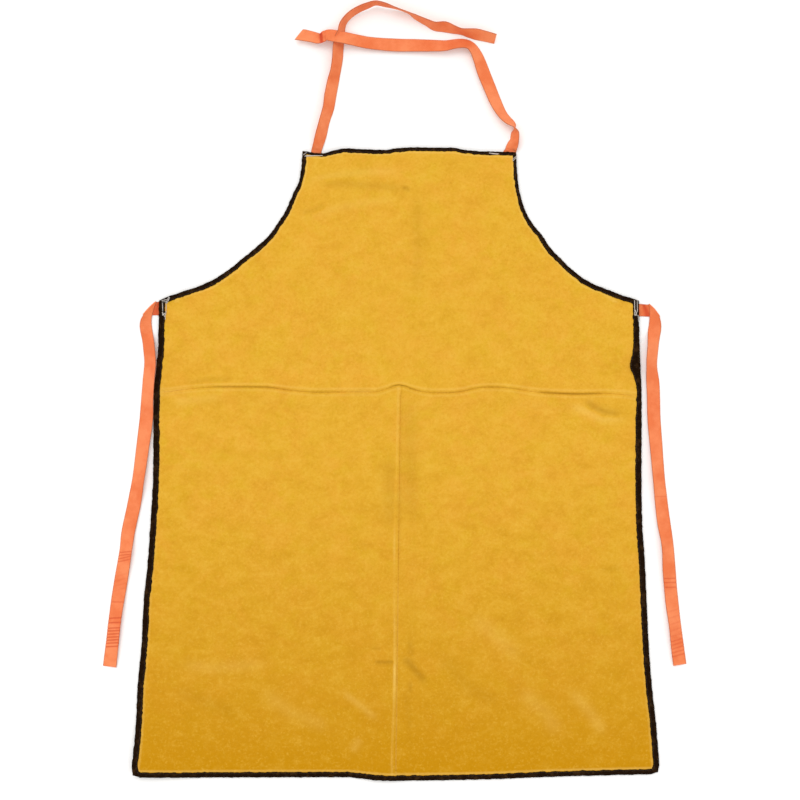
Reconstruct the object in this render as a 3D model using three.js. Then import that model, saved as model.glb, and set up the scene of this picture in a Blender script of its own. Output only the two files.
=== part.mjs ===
import * as THREE from 'three';

// A leather welding apron laid flat, suede side up, with its neck and waist ties spread out.
// Lengths are in millimetres. +Z is up, +Y runs from the hem to the bib and +X to the right.

// Driving dimensions of the body, over the binding
const apronLength = 900;
const bibWidth = 308;
const waistWidth = 688;
const hemWidth = 758;
const armholeDepth = 215.5; // top edge down to the waist corners
const seamDrop = 345; // top edge down to the horizontal seam
const bibLean = 13; // the lay carries the bib this far to the right of the waist
const hemLean = -5.5; // and the hem to its left
const centreSeamShift = 2.5; // centre seam to the right of the middle, at its top end
const topRipple = 4;
const seamRipple = 6;
const hemRipple = 5;
const hemCornerRadius = 9;

// Leather, tape and webbing
const leatherThickness = 1.5;
const allowanceWidth = 10; // leather turned back under itself along the seams
const tapeThickness = 0.7;
const tapeLeg = 6.5; // how far the folded tape covers the leather
const webbingWidth = 20;
const webbingThickness = 1.2;
const gap = 0.3; // clearance between pieces that touch
const tapeEase = 0.4; // clearance of the folded tape over and under the leather

// Ties
const neckReach = 214; // top edge up to the highest bend of the neck ties
const waistTieDrop = 525; // waist corner down to the end of a waist tie
const tieTuck = 24; // length of each tie hidden under the leather
const leftTieInset = 20.5; // side of the bib to the middle of a neck tie
const rightTieInset = 12;
const leftStub = 11; // waist tie between the binding and its folded corner
const rightStub = 14;

const wrap = tapeThickness + gap; // leather edge to the outside of the tape
const waistHeight = apronLength - armholeDepth;
const seamHeight = apronLength - seamDrop;
const foldRadius = (leatherThickness + gap) / 2; // of the leather's middle layer at a turned edge
const foldNose = foldRadius + leatherThickness / 2;
const seamReach = foldNose + gap / 2; // seam line to where a panel starts to turn down
const bindingStation = tapeLeg + 1.5; // the leather is level up to here, past the tape's leg
const seamStation = allowanceWidth + 2; // and up to here, past the turned allowance
const innerStation = 26; // from here on the leather lies on the surface
const bindingLift = tapeThickness + tapeEase;
const seamLift = leatherThickness + gap;
const tuckLift = webbingThickness + gap;
const tuckLevel = 2.3 * webbingWidth; // the leather is level this far round a tucked tie end
const tuckFade = 3 * webbingWidth; // and is down on the surface again after this much more
const slopeSpan = 4; // height over which the slope of the outline is taken

// Shapes of the outline, as shares of the named sizes
const armholeShape = [
  { down: 0, left: -0.01, right: 0 },
  { down: 0.1, left: -0.01, right: 0.011 },
  { down: 0.2, left: 0.002, right: 0.026 },
  { down: 0.3, left: 0.045, right: 0.053 },
  { down: 0.41, left: 0.094, right: 0.101 },
  { down: 0.5, left: 0.154, right: 0.168 },
  { down: 0.57, left: 0.205, right: 0.238 },
  { down: 0.65, left: 0.3, right: 0.303 },
  { down: 0.73, left: 0.405, right: 0.397 },
  { down: 0.81, left: 0.512, right: 0.498 },
  { down: 0.89, left: 0.662, right: 0.638 },
  { down: 0.93, left: 0.79, right: 0.76 },
  { down: 0.97, left: 0.925, right: 0.875 },
  { down: 1, left: 1, right: 1 },
];
const sideShape = [
  { down: 0, left: 0.02, right: -0.03 },
  { down: 0.09, left: 0.035, right: 0.013 },
  { down: 0.14, left: 0.11, right: 0.06 },
  { down: 0.2, left: 0.21, right: 0.12 },
  { down: 0.37, left: 0.215, right: 0.14 },
  { down: 0.46, left: 0.297, right: 0.186 },
  { down: 0.54, left: 0.39, right: 0.3 },
  { down: 0.63, left: 0.55, right: 0.395 },
  { down: 0.72, left: 0.625, right: 0.49 },
  { down: 0.82, left: 0.784, right: 0.655 },
  { down: 0.89, left: 0.83, right: 0.816 },
  { down: 1, left: 1, right: 1 },
];
const topShape = [
  { across: 0, drop: 0.35 },
  { across: 0.09, drop: 1.3 },
  { across: 0.145, drop: 0.28 },
  { across: 0.2, drop: -0.53 },
  { across: 0.27, drop: -0.35 },
  { across: 0.39, drop: -0.07 },
  { across: 0.45, drop: -0.72 },
  { across: 0.51, drop: -0.93 },
  { across: 0.7, drop: -0.82 },
  { across: 0.755, drop: -0.07 },
  { across: 0.81, drop: 0.35 },
  { across: 1, drop: 0.82 },
];
const seamShape = [
  { across: 0, drop: 0.45 },
  { across: 0.06, drop: -0.17 },
  { across: 0.13, drop: -0.88 },
  { across: 0.29, drop: 0.05 },
  { across: 0.35, drop: 0.4 },
  { across: 0.44, drop: 0.55 },
  { across: 0.475, drop: 0.07 },
  { across: 0.504, drop: -1.29 },
  { across: 0.535, drop: -0.07 },
  { across: 0.58, drop: 0.62 },
  { across: 0.62, drop: 0.38 },
  { across: 0.67, drop: -0.8 },
  { across: 0.83, drop: -0.41 },
  { across: 0.92, drop: 0.55 },
  { across: 1, drop: 1.6 },
];
const hemShape = [
  { across: 0, drop: -0.4 },
  { across: 0.1, drop: -0.1 },
  { across: 0.4, drop: -0.2 },
  { across: 0.47, drop: 0.65 },
  { across: 0.5, drop: 0.8 },
  { across: 0.65, drop: 0.5 },
  { across: 0.81, drop: -0.4 },
  { across: 1, drop: -1.1 },
];

// Soft humps of the leather. Places are shares of the half width at that height and of the length,
// and radii and heights are shares of the apron's length and of the leather's thickness.
const humps = [
  { across: -1, up: 0, radius: 0.14, height: 3.4 }, // lifted corner of the hem
  { across: -0.03, up: 0, radius: 0.055, height: 1.2 },
  { across: 0.86, up: 0.55, radius: 0.07, height: 1 }, // beside the bunched binding
  { across: -0.75, up: 1, radius: 0.05, height: 1.2 }, // ripples of the top edge
  { across: 0.05, up: 1, radius: 0.06, height: 1.4 },
  { across: 0.45, up: 1, radius: 0.05, height: 1 },
  { across: -0.06, up: 0.14, radius: 0.07, height: 1.1 }, // creases of the skirt
  { across: 0.13, up: 0.13, radius: 0.06, height: 0.9 },
  { across: -0.55, up: 0.37, radius: 0.11, height: 0.9 },
  { across: 0.5, up: 0.3, radius: 0.1, height: 0.9 },
  { across: -0.4, up: 0.72, radius: 0.08, height: 0.9 },
  { across: 0.35, up: 0.82, radius: 0.07, height: 0.8 },
];

// Routes of the neck ties. Across is a share of the bib's half width from its middle, up a share of
// the neck reach. Roll turns the webbing on edge, in degrees. Lift is a share of its width.
const leftNeckRoute = [
  { across: -0.857, up: 0.02, roll: 0, lift: 0 },
  { across: -0.827, up: 0.081, roll: -8, lift: 0 },
  { across: -0.8, up: 0.162, roll: -14, lift: 0 },
  { across: -0.751, up: 0.277, roll: -14, lift: 0 },
  { across: -0.726, up: 0.405, roll: -10, lift: 0 },
  { across: -0.691, up: 0.5, roll: -8, lift: 0 },
  { across: -0.666, up: 0.608, roll: -4, lift: 0 },
  { across: -0.657, up: 0.709, roll: 0, lift: 0 },
  { across: -0.648, up: 0.764, roll: -6, lift: 0 },
  { across: -0.634, up: 0.818, roll: -38, lift: 0 },
  { across: -0.598, up: 0.872, roll: -58, lift: 0 },
  { across: -0.521, up: 0.923, roll: -60, lift: 0.05 },
  { across: -0.433, up: 0.96, roll: -64, lift: 0.14 },
  { across: -0.367, up: 0.986, roll: -72, lift: 0.24 },
  { across: -0.315, up: 0.996, roll: -84, lift: 0.3 },
  { across: -0.219, up: 0.977, roll: -90, lift: 0.3 },
  { across: -0.1, up: 0.953, roll: -88, lift: 0.2 },
  { across: 0, up: 0.918, roll: -74, lift: 0.08 },
  { across: 0.079, up: 0.889, roll: -58, lift: 0 },
  { across: 0.158, up: 0.858, roll: -52, lift: 0 },
  { across: 0.228, up: 0.838, roll: -44, lift: 0 },
  { across: 0.316, up: 0.838, roll: -28, lift: 0 },
  { across: 0.391, up: 0.826, roll: -32, lift: 0 },
  { across: 0.437, up: 0.814, roll: -46, lift: 0 },
  { across: 0.493, up: 0.801, roll: -52, lift: 0 },
  { across: 0.567, up: 0.795, roll: -38, lift: 0 },
  { across: 0.642, up: 0.786, roll: -34, lift: 0 },
  { across: 0.712, up: 0.766, roll: -44, lift: 0 },
  { across: 0.784, up: 0.748, roll: -46, lift: 0 },
];
const rightNeckRoute = [
  { across: 0.944, up: 0.02, roll: 0, lift: 0 },
  { across: 0.968, up: 0.05, roll: 20, lift: 0 },
  { across: 0.982, up: 0.09, roll: 42, lift: 0 },
  { across: 0.986, up: 0.135, roll: 60, lift: 0 },
  { across: 0.95, up: 0.183, roll: 104, lift: 0 },
  { across: 0.878, up: 0.226, roll: 138, lift: 0 },
  { across: 0.82, up: 0.307, roll: 150, lift: 0 },
  { across: 0.753, up: 0.419, roll: 152, lift: 0 },
  { across: 0.695, up: 0.53, roll: 147, lift: 0 },
  { across: 0.664, up: 0.588, roll: 147, lift: 0 },
  { across: 0.633, up: 0.642, roll: 146, lift: 0 },
  { across: 0.612, up: 0.676, roll: 140, lift: 0 },
  { across: 0.578, up: 0.709, roll: 132, lift: 0 },
  { across: 0.52, up: 0.722, roll: 130, lift: 0 },
  { across: 0.446, up: 0.718, roll: 132, lift: 0 },
  { across: 0.391, up: 0.711, roll: 138, lift: 0 },
  { across: 0.331, up: 0.705, roll: 150, lift: 0 },
  { across: 0.214, up: 0.707, roll: 160, lift: 0 },
  { across: 0.06, up: 0.709, roll: 172, lift: 0 },
  { across: -0.084, up: 0.711, roll: 178, lift: 0 },
  { across: -0.27, up: 0.724, roll: 178, lift: 0 },
  { across: -0.409, up: 0.731, roll: 176, lift: 0 },
  { across: -0.52, up: 0.744, roll: 186, lift: 0.2 },
  { across: -0.586, up: 0.755, roll: 194, lift: 0.41 },
  { across: -0.66, up: 0.768, roll: 198, lift: 0.54 },
  { across: -0.74, up: 0.775, roll: 190, lift: 0.4 },
  { across: -0.81, up: 0.766, roll: 164, lift: 0.05 },
  { across: -0.9, up: 0.762, roll: 148, lift: 0 },
  { across: -0.982, up: 0.78, roll: 150, lift: 0 },
  { across: -1.05, up: 0.778, roll: 146, lift: 0 },
];

// Routes of the waist ties below their folded corner. Down is a share of the waist tie drop, beside
// the distance from the side of the apron in webbing widths, and roll is in degrees.
const leftWaistRoute = [
  { down: 0.078, beside: 0.97, roll: 12 },
  { down: 0.119, beside: 0.67, roll: 26 },
  { down: 0.17, beside: 0.46, roll: 28 },
  { down: 0.217, beside: 0.43, roll: 26 },
  { down: 0.269, beside: 0.44, roll: 24 },
  { down: 0.323, beside: 0.51, roll: 8 },
  { down: 0.4, beside: 0.74, roll: 14 },
  { down: 0.487, beside: 1.02, roll: 22 },
  { down: 0.561, beside: 1.27, roll: 6 },
  { down: 0.633, beside: 1.55, roll: 6 },
  { down: 0.683, beside: 1.62, roll: 20 },
  { down: 0.779, beside: 1.79, roll: 6 },
  { down: 0.866, beside: 1.97, roll: 18 },
  { down: 0.943, beside: 2.1, roll: 14 },
  { down: 1, beside: 2.14, roll: 6 },
];
const rightWaistRoute = [
  { down: 0.08, beside: 1.16, roll: 20 },
  { down: 0.119, beside: 0.96, roll: 30 },
  { down: 0.176, beside: 0.79, roll: 33 },
  { down: 0.236, beside: 0.83, roll: 12 },
  { down: 0.323, beside: 0.88, roll: 12 },
  { down: 0.4, beside: 1.04, roll: 18 },
  { down: 0.487, beside: 1.23, roll: 24 },
  { down: 0.596, beside: 1.5, roll: 12 },
  { down: 0.67, beside: 1.68, roll: 24 },
  { down: 0.74, beside: 1.7, roll: 14 },
  { down: 0.815, beside: 1.78, roll: 14 },
  { down: 0.89, beside: 1.94, roll: 22 },
  { down: 0.943, beside: 2.04, roll: 14 },
  { down: 0.995, beside: 2.13, roll: 10 },
];

// A smooth value of one column of a table, at a place along another column
function smoothColumn(rows, place, column) {
  const rises = rows.slice(1).map((row, k) => {
    const before = rows[k];
    return (row[column] - before[column]) / (row[place] - before[place]);
  });
  const slopes = rows.map((_, k) => {
    if (k === 0) return rises[0];
    if (k === rises.length) return rises[k - 1];
    const [before, after] = [rises[k - 1], rises[k]];
    return before * after > 0 ? (2 * before * after) / (before + after) : 0;
  });
  return (at) => {
    const next = rows.findIndex((row) => row[place] > at);
    if (next === 0) return rows[0][column];
    if (next < 0) return rows[rows.length - 1][column];
    const [a, b] = [rows[next - 1], rows[next]];
    const span = b[place] - a[place];
    const t = (at - a[place]) / span;
    const fade = t * t * (3 - 2 * t);
    const bend = slopes[next - 1] * t * (1 - t) * (1 - t) - slopes[next] * t * t * (1 - t);
    return a[column] + (b[column] - a[column]) * fade + bend * span;
  };
}

const armholeOut = {
  left: smoothColumn(armholeShape, 'down', 'left'),
  right: smoothColumn(armholeShape, 'down', 'right'),
};
const sideOut = {
  left: smoothColumn(sideShape, 'down', 'left'),
  right: smoothColumn(sideShape, 'down', 'right'),
};
const topDrop = smoothColumn(topShape, 'across', 'drop');
const seamWave = smoothColumn(seamShape, 'across', 'drop');
const hemWave = smoothColumn(hemShape, 'across', 'drop');

const mix = (a, b, t) => a + (b - a) * t;
const between = (value, low, high) => Math.min(Math.max(value, low), high);
const soften = (t) => {
  const held = between(t, 0, 1);
  return held * held * (3 - 2 * held);
};

// Middle of the apron at a height above the hem
function middleX(height) {
  if (height > waistHeight) return (bibLean * (height - waistHeight)) / armholeDepth;
  return (hemLean * (waistHeight - height)) / waistHeight;
}

// Outside edge of the binding, left with side -1 and right with side 1
function outlineX(side, height) {
  const name = side < 0 ? 'left' : 'right';
  if (height > waistHeight) {
    const out = armholeOut[name](between((apronLength - height) / armholeDepth, 0, 1));
    return middleX(height) + (side * mix(bibWidth, waistWidth, out)) / 2;
  }
  const out = sideOut[name](between(1 - height / waistHeight, 0, 1));
  return middleX(height) + (side * mix(waistWidth, hemWidth, out)) / 2;
}

// Where a line inside the leather's edge, at a distance square to it, crosses a height
function insetX(side, height, distance) {
  const aboveCorner = height > waistHeight - 2 * wrap;
  const low = aboveCorner ? Math.max(height, waistHeight) : height - slopeSpan;
  const slope = (outlineX(side, low + slopeSpan) - outlineX(side, low)) / slopeSpan;
  const stretch = Math.hypot(1, slope);
  const edge = outlineX(side, height) - side * wrap * (height > waistHeight ? stretch : 1);
  return edge - side * distance * stretch;
}

const centreSeamX = (height) => middleX(height) + (centreSeamShift * height) / seamHeight;

// Height of a point of the bib or the skirt, whose rows follow the wavy edges more and more closely
function bibHeight(across, drop) {
  const nearTop = between(1 - drop / armholeDepth, 0, 1) ** 3;
  const nearSeam = between((drop - armholeDepth) / (seamDrop - armholeDepth), 0, 1) ** 2;
  const wave = topRipple * topDrop(across) * nearTop + seamRipple * seamWave(across) * nearSeam;
  return apronLength - drop - wave;
}

function skirtHeight(across, drop) {
  const down = between(drop / seamHeight, 0, 1);
  const nearSeam = (1 - down) ** 2;
  const wave = seamRipple * seamWave(across) * nearSeam + hemRipple * hemWave(across) * down ** 3;
  return seamHeight - drop - wave;
}

// Level of the leather's underside over the ties, the creases and the lifted corner
const tucks = [
  { x: outlineX(-1, apronLength) + leftTieInset, y: apronLength - tieTuck / 2 },
  { x: outlineX(1, apronLength) - rightTieInset, y: apronLength - tieTuck / 2 },
  { x: outlineX(-1, waistHeight) + tieTuck / 2, y: waistHeight - webbingWidth / 2 },
  { x: outlineX(1, waistHeight) - tieTuck / 2, y: waistHeight - webbingWidth / 2 },
];

function humpLift(x, y) {
  const overTies = tucks.map((tuck) => {
    const away = Math.hypot(x - tuck.x, y - tuck.y);
    return tuckLift * soften(1 - (away - tuckLevel) / tuckFade);
  });
  const overHumps = humps.map((hump) => {
    const height = hump.up * apronLength;
    const centre = mix(outlineX(-1, height), outlineX(1, height), (hump.across + 1) / 2);
    const away = Math.hypot(x - centre, y - height) / (hump.radius * apronLength);
    return hump.height * leatherThickness * soften(1 - away);
  });
  return Math.max(...overTies) + overHumps.reduce((sum, lift) => sum + lift, 0);
}

// A closed solid from triangles over a list of points, turned so that its faces point outwards
function solidFrom(points, triangles) {
  const volume = triangles.reduce((sum, [a, b, c]) => {
    const cross = new THREE.Vector3().crossVectors(points[b], points[c]);
    return sum + points[a].dot(cross);
  }, 0);
  const geometry = new THREE.BufferGeometry();
  const positions = points.flatMap((point) => [point.x, point.y, point.z]);
  geometry.setAttribute('position', new THREE.Float32BufferAttribute(positions, 3));
  geometry.setIndex(triangles.flatMap(([a, b, c]) => (volume > 0 ? [a, b, c] : [a, c, b])));
  geometry.computeVertexNormals();
  return geometry;
}

// A sheet of even thickness over a grid of middle-layer points. Places without a point are left out.
function sheetFrom(grid, thickness) {
  const points = [];
  const numbers = grid.map((row) => row.map((point) => (point ? points.push(point) - 1 : -1)));
  const at = (i, j) => (numbers[i] && numbers[i][j] >= 0 ? points[numbers[i][j]] : null);
  const directionAt = (i, j, di, dj) => {
    const direction = new THREE.Vector3();
    const here = at(i, j);
    const [ahead, behind] = [at(i + di, j + dj), at(i - di, j - dj)];
    if (ahead) direction.add(ahead.clone().sub(here).normalize());
    if (behind) direction.add(here.clone().sub(behind).normalize());
    return direction;
  };
  const upper = [];
  const lower = [];
  grid.forEach((row, i) => row.forEach((point, j) => {
    if (!point) return;
    const normal = directionAt(i, j, 0, 1).cross(directionAt(i, j, 1, 0)).normalize();
    upper.push(point.clone().addScaledVector(normal, thickness / 2));
    lower.push(point.clone().addScaledVector(normal, -thickness / 2));
  }));
  const count = points.length;
  const triangles = [];
  const edges = new Map();
  for (let i = 0; i + 1 < grid.length; i += 1) {
    for (let j = 0; j + 1 < grid[i].length; j += 1) {
      const corners = [numbers[i][j], numbers[i + 1][j], numbers[i + 1][j + 1], numbers[i][j + 1]];
      if (corners.some((corner) => corner < 0)) continue;
      const [a, b, c, d] = corners;
      triangles.push([a, b, c], [a, c, d]);
      triangles.push([count + a, count + c, count + b], [count + a, count + d, count + c]);
      corners.forEach((from, k) => {
        const to = corners[(k + 1) % 4];
        if (!edges.delete(`${to} ${from}`)) edges.set(`${from} ${to}`, [from, to]);
      });
    }
  }
  edges.forEach(([from, to]) => triangles.push([from, count + from, to], [to, count + from, count + to]));
  return solidFrom([...upper, ...lower], triangles);
}

// A bar with the same number of points in each section, closed at both ends
function barFrom(sections) {
  const size = sections[0].length;
  const triangles = [];
  for (let k = 0; k + 1 < sections.length; k += 1) {
    for (let p = 0; p < size; p += 1) {
      const q = (p + 1) % size;
      const [here, there] = [k * size, (k + 1) * size];
      triangles.push([here + p, here + q, there + q], [here + p, there + q, there + p]);
    }
  }
  return { points: sections.flat(), triangles, size, last: (sections.length - 1) * size };
}

// Folded edge of a panel: turn is the direction towards the seam, and the points go from the level
// leather round the fold to the end of the allowance that lies back under it.
const foldAngles = [45, 90, 135, 180];
function foldPoints(edge, turn) {
  const round = foldAngles.map((degrees) => {
    const angle = THREE.MathUtils.degToRad(degrees);
    const out = turn.clone().multiplyScalar(foldRadius * Math.sin(angle));
    return edge.clone().add(out).setZ(edge.z - foldRadius * (1 - Math.cos(angle)));
  });
  const end = edge.clone().addScaledVector(turn, -allowanceWidth).setZ(edge.z - 2 * foldRadius);
  return [...round, end];
}

// Evenly spaced numbers between two ends, both left out
function inside(from, to, count) {
  return Array.from({ length: count - 1 }, (_, k) => mix(from, to, (k + 1) / count));
}

// Distances of the skirt's rows below the seam and of its columns from the centre seam to the side
const skirtRows = 10;
const skirtColumns = 7;
const skirtDrops = [
  seamReach,
  seamReach + seamStation,
  seamReach + innerStation,
  ...inside(seamReach + innerStation, seamHeight - wrap - innerStation, skirtRows),
  seamHeight - wrap - innerStation,
  seamHeight - wrap - bindingStation,
  seamHeight - wrap,
];

function skirtStations(side, height) {
  const start = centreSeamX(height) + side * seamReach;
  const inner = start + side * innerStation;
  const outer = insetX(side, height, innerStation);
  return [
    start,
    start + side * seamStation,
    inner,
    ...inside(inner, outer, skirtColumns),
    outer,
    insetX(side, height, bindingStation),
    insetX(side, height, 0),
  ];
}

const acrossAt = (x, height) => (x - outlineX(-1, height)) / (outlineX(1, height) - outlineX(-1, height));

// The level strips along an edge take their lift at the edge itself, so that the leather is flat there
function leather(places, edgeRow, edgeCol, base) {
  return places.map((row, i) => row.map((place, j) => {
    const edge = places[edgeRow(i)][edgeCol(j)];
    const z = base(i, j) + humpLift(edge.x, edge.y) + leatherThickness / 2;
    return new THREE.Vector3(place.x, place.y, z);
  }));
}

function skirtGrid(side) {
  const places = skirtDrops.map((drop) => skirtStations(side, seamHeight - drop).map((x) => {
    const y = skirtHeight(acrossAt(x, seamHeight - drop), drop);
    return new THREE.Vector2(x, y);
  }));
  const lastRow = skirtDrops.length - 1;
  const lastCol = places[0].length - 1;
  const inBinding = (i, j) => i >= lastRow - 1 || j >= lastCol - 1;
  const base = (i, j) => {
    if (inBinding(i, j)) return bindingLift;
    return i <= 1 || j <= 1 ? seamLift : 0;
  };
  const edgeRow = (i) => (i <= 1 ? 0 : i >= lastRow - 1 ? lastRow : i);
  const edgeCol = (j) => (j <= 1 ? 0 : j >= lastCol - 1 ? lastCol : j);
  const main = leather(places, edgeRow, edgeCol, base);

  // Both seam edges turn under, apart from their ends, which are cut off level with the fold
  const upwards = new THREE.Vector3(0, 1, 0);
  const inwards = new THREE.Vector3(-side, 0, 0);
  const turnsUnder = (k, last) => k >= 1 && k < last - 1;
  const topFolds = main[0].map((edge, j) => (turnsUnder(j, lastCol) ? foldPoints(edge, upwards) : null));
  const sideFolds = main.map((row, i) => (turnsUnder(i, lastRow) ? foldPoints(row[0], inwards) : null));
  main[0].forEach((edge, j) => {
    if (!topFolds[j]) edge.addScaledVector(upwards, foldNose);
  });
  main.forEach((row, i) => {
    if (!sideFolds[i]) row[0].addScaledVector(inwards, foldNose);
  });

  // The hem's outer corner is rounded
  const pull = hemCornerRadius * (1 - Math.SQRT1_2);
  main[lastRow][lastCol].add(new THREE.Vector3(-side * pull, pull, 0));

  const folds = foldAngles.length + 1;
  const above = Array.from({ length: folds }, (_, k) => {
    const blank = Array(folds).fill(null);
    return [...blank, ...topFolds.map((points) => (points ? points[folds - 1 - k] : null))];
  });
  const rows = main.map((row, i) => {
    const beside = sideFolds[i] ? [...sideFolds[i]].reverse() : Array(folds).fill(null);
    return [...beside, ...row];
  });
  return { main, grid: [...above, ...rows], lastRow, lastCol };
}

// The bib panel has the columns of both skirt panels along the seam, so that the two edges match
const bibRows = 9;
const cornerDrop = armholeDepth + wrap;
const belowCorner = cornerDrop + bindingStation + 1;
const bibDrops = [
  wrap,
  wrap + bindingStation,
  wrap + innerStation,
  ...inside(wrap + innerStation, cornerDrop, bibRows),
  cornerDrop,
  belowCorner,
  ...inside(belowCorner, seamDrop - seamReach - innerStation, 3),
  seamDrop - seamReach - innerStation,
  seamDrop - seamReach - seamStation,
  seamDrop - seamReach,
];
const waistRow = bibDrops.indexOf(cornerDrop);

function bibGrid() {
  const seamColumns = [
    ...skirtStations(-1, seamHeight).reverse(),
    ...skirtStations(1, seamHeight),
  ];
  const lastCol = seamColumns.length - 1;
  const [seamStart, seamEnd] = [seamColumns[2], seamColumns[lastCol - 2]];
  const shares = seamColumns.slice(2, -2).map((x) => (x - seamStart) / (seamEnd - seamStart));
  const places = bibDrops.map((drop) => {
    const edges = [-1, 1].map((side) => {
      const height = bibHeight(side < 0 ? 0 : 1, drop);
      return [0, bindingStation, innerStation].map((station) => insetX(side, height, station));
    });
    const [left, right] = edges;
    const middle = shares.map((share) => mix(left[2], right[2], share));
    const xs = [left[0], left[1], ...middle, right[1], right[0]];
    return xs.map((x) => new THREE.Vector2(x, bibHeight(acrossAt(x, apronLength - drop), drop)));
  });
  const lastRow = bibDrops.length - 1;
  const inBinding = (i, j) => i <= 1 || j <= 1 || j >= lastCol - 1;
  const base = (i, j) => {
    if (inBinding(i, j)) return bindingLift;
    return i >= lastRow - 1 ? seamLift : 0;
  };
  const edgeRow = (i) => (i <= 1 ? 0 : i >= lastRow - 1 ? lastRow : i);
  const edgeCol = (j) => (j <= 1 ? 0 : j >= lastCol - 1 ? lastCol : j);
  const main = leather(places, edgeRow, edgeCol, base);
  const downwards = new THREE.Vector3(0, -1, 0);
  const turnsUnder = (j) => j > 1 && j < lastCol - 1;
  const folds = main[lastRow].map((edge, j) => (turnsUnder(j) ? foldPoints(edge, downwards) : null));
  main[lastRow].forEach((edge, j) => {
    if (!folds[j]) edge.addScaledVector(downwards, foldNose);
  });
  const below = Array.from({ length: foldAngles.length + 1 }, (_, k) => (
    folds.map((points) => points && points[k])
  ));
  return { main, grid: [...main, ...below], lastRow, lastCol };
}

const bib = bibGrid();
const skirt = { left: skirtGrid(-1), right: skirtGrid(1) };

// Leather edges in order round the body, against the clock as seen from above, from the hem's left corner
const column = (part, j, from, to) => part.main.slice(from, to + 1).map((row) => row[j]);
const hemLeft = skirt.left.main[skirt.left.lastRow];
const hemRight = skirt.right.main[skirt.right.lastRow];
const sideRightUp = [
  ...column(skirt.right, skirt.right.lastCol, 1, skirt.right.lastRow).reverse(),
  ...column(bib, bib.lastCol, waistRow, bib.lastRow).reverse(),
];
const sideLeftDown = [
  ...column(bib, 0, waistRow, bib.lastRow),
  ...column(skirt.left, skirt.left.lastCol, 1, skirt.left.lastRow),
];
const armholeRightUp = column(bib, bib.lastCol, 0, waistRow).reverse();
const armholeLeftDown = column(bib, 0, 0, waistRow);
const rightEdge = [...sideRightUp, ...armholeRightUp.slice(1)];
const leftEdge = [...armholeLeftDown, ...sideLeftDown.slice(1)].reverse();
const edgeRuns = [
  { name: 'binding_hem', points: [...[...hemLeft].reverse(), ...hemRight.slice(1)] },
  { name: 'binding_side_right', points: sideRightUp, levels: rightEdge },
  { name: 'binding_armhole_right', points: armholeRightUp, levels: rightEdge },
  { name: 'binding_top', points: [...bib.main[0]].reverse() },
  { name: 'binding_armhole_left', points: armholeLeftDown, levels: leftEdge },
  { name: 'binding_side_left', points: sideLeftDown, levels: leftEdge },
];

// Level of the leather at a height, from edge points that are listed upwards: it is the same right
// across the strip under the tape
function levelAt(levels, height) {
  const next = between(levels.findIndex((point) => point.y > height), 1, levels.length - 1);
  const [a, b] = [levels[next - 1], levels[next]];
  return mix(a.z, b.z, between((height - a.y) / (b.y - a.y), 0, 1));
}

// Direction out of the leather at the corner of two straight stretches, longer where the corner is sharp
function mitre(before, here, after) {
  const normals = [[before, here], [here, after]].map(([from, to]) => {
    const way = to.clone().sub(from).setZ(0).normalize();
    return new THREE.Vector3(way.y, -way.x, 0);
  });
  const sum = normals[0].clone().add(normals[1]);
  return sum.divideScalar(1 + normals[0].dot(normals[1]));
}

// Tape folded over the leather's edge: out of the edge and up from the leather's middle
const tapeInside = leatherThickness / 2 + tapeEase;
const tapeOutside = tapeInside + tapeThickness;
const tapeSection = [
  [-tapeLeg, -tapeOutside],
  [gap, -tapeOutside],
  [wrap, -tapeInside],
  [wrap, tapeInside],
  [gap, tapeOutside],
  [-tapeLeg, tapeOutside],
  [-tapeLeg, tapeInside],
  [gap, tapeInside],
  [gap, -tapeInside],
  [-tapeLeg, -tapeInside],
];
const capTriangles = [
  [0, 1, 9],
  [1, 8, 9],
  [1, 2, 8],
  [2, 3, 8],
  [3, 7, 8],
  [3, 4, 7],
  [4, 6, 7],
  [4, 5, 6],
];

function bindingFrom(run, before, after) {
  const points = run.points;
  const last = points.length - 1;
  const sections = points.map((here, k) => {
    const out = mitre(k > 0 ? points[k - 1] : before, here, k < last ? points[k + 1] : after);
    const centre = here.clone();
    if (k === 0) centre.add(points[1].clone().sub(here).setZ(0).setLength(gap / 2));
    if (k === last) centre.add(points[last - 1].clone().sub(here).setZ(0).setLength(gap / 2));
    const tip = centre.clone().addScaledVector(out, -tapeLeg);
    const fall = run.levels ? here.z - levelAt(run.levels, tip.y) : 0;
    return tapeSection.map(([away, up]) => {
      const level = here.z - fall * between(-away / tapeLeg, 0, 1);
      return centre.clone().addScaledVector(out, away).setZ(level + up);
    });
  });
  const bar = barFrom(sections);
  capTriangles.forEach(([a, b, c]) => {
    bar.triangles.push([a, c, b], [bar.last + a, bar.last + b, bar.last + c]);
  });
  return solidFrom(bar.points, bar.triangles);
}

// Webbing through rows that each have a left and a right edge point
function webbingFrom(rows) {
  const middles = rows.map((row) => row.left.clone().add(row.right).multiplyScalar(0.5));
  const sections = rows.map((row, k) => {
    const way = new THREE.Vector3();
    if (k > 0) way.add(middles[k].clone().sub(middles[k - 1]).normalize());
    if (k + 1 < rows.length) way.add(middles[k + 1].clone().sub(middles[k]).normalize());
    const normal = row.right.clone().sub(row.left).cross(way).normalize();
    const shift = normal.multiplyScalar(webbingThickness / 2);
    return [
      row.left.clone().add(shift),
      row.right.clone().add(shift),
      row.right.clone().sub(shift),
      row.left.clone().sub(shift),
    ];
  });
  const bar = barFrom(sections);
  const end = bar.last;
  bar.triangles.push([0, 2, 1], [0, 3, 2], [end, end + 1, end + 2], [end, end + 2, end + 3]);
  return solidFrom(bar.points, bar.triangles);
}

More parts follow.
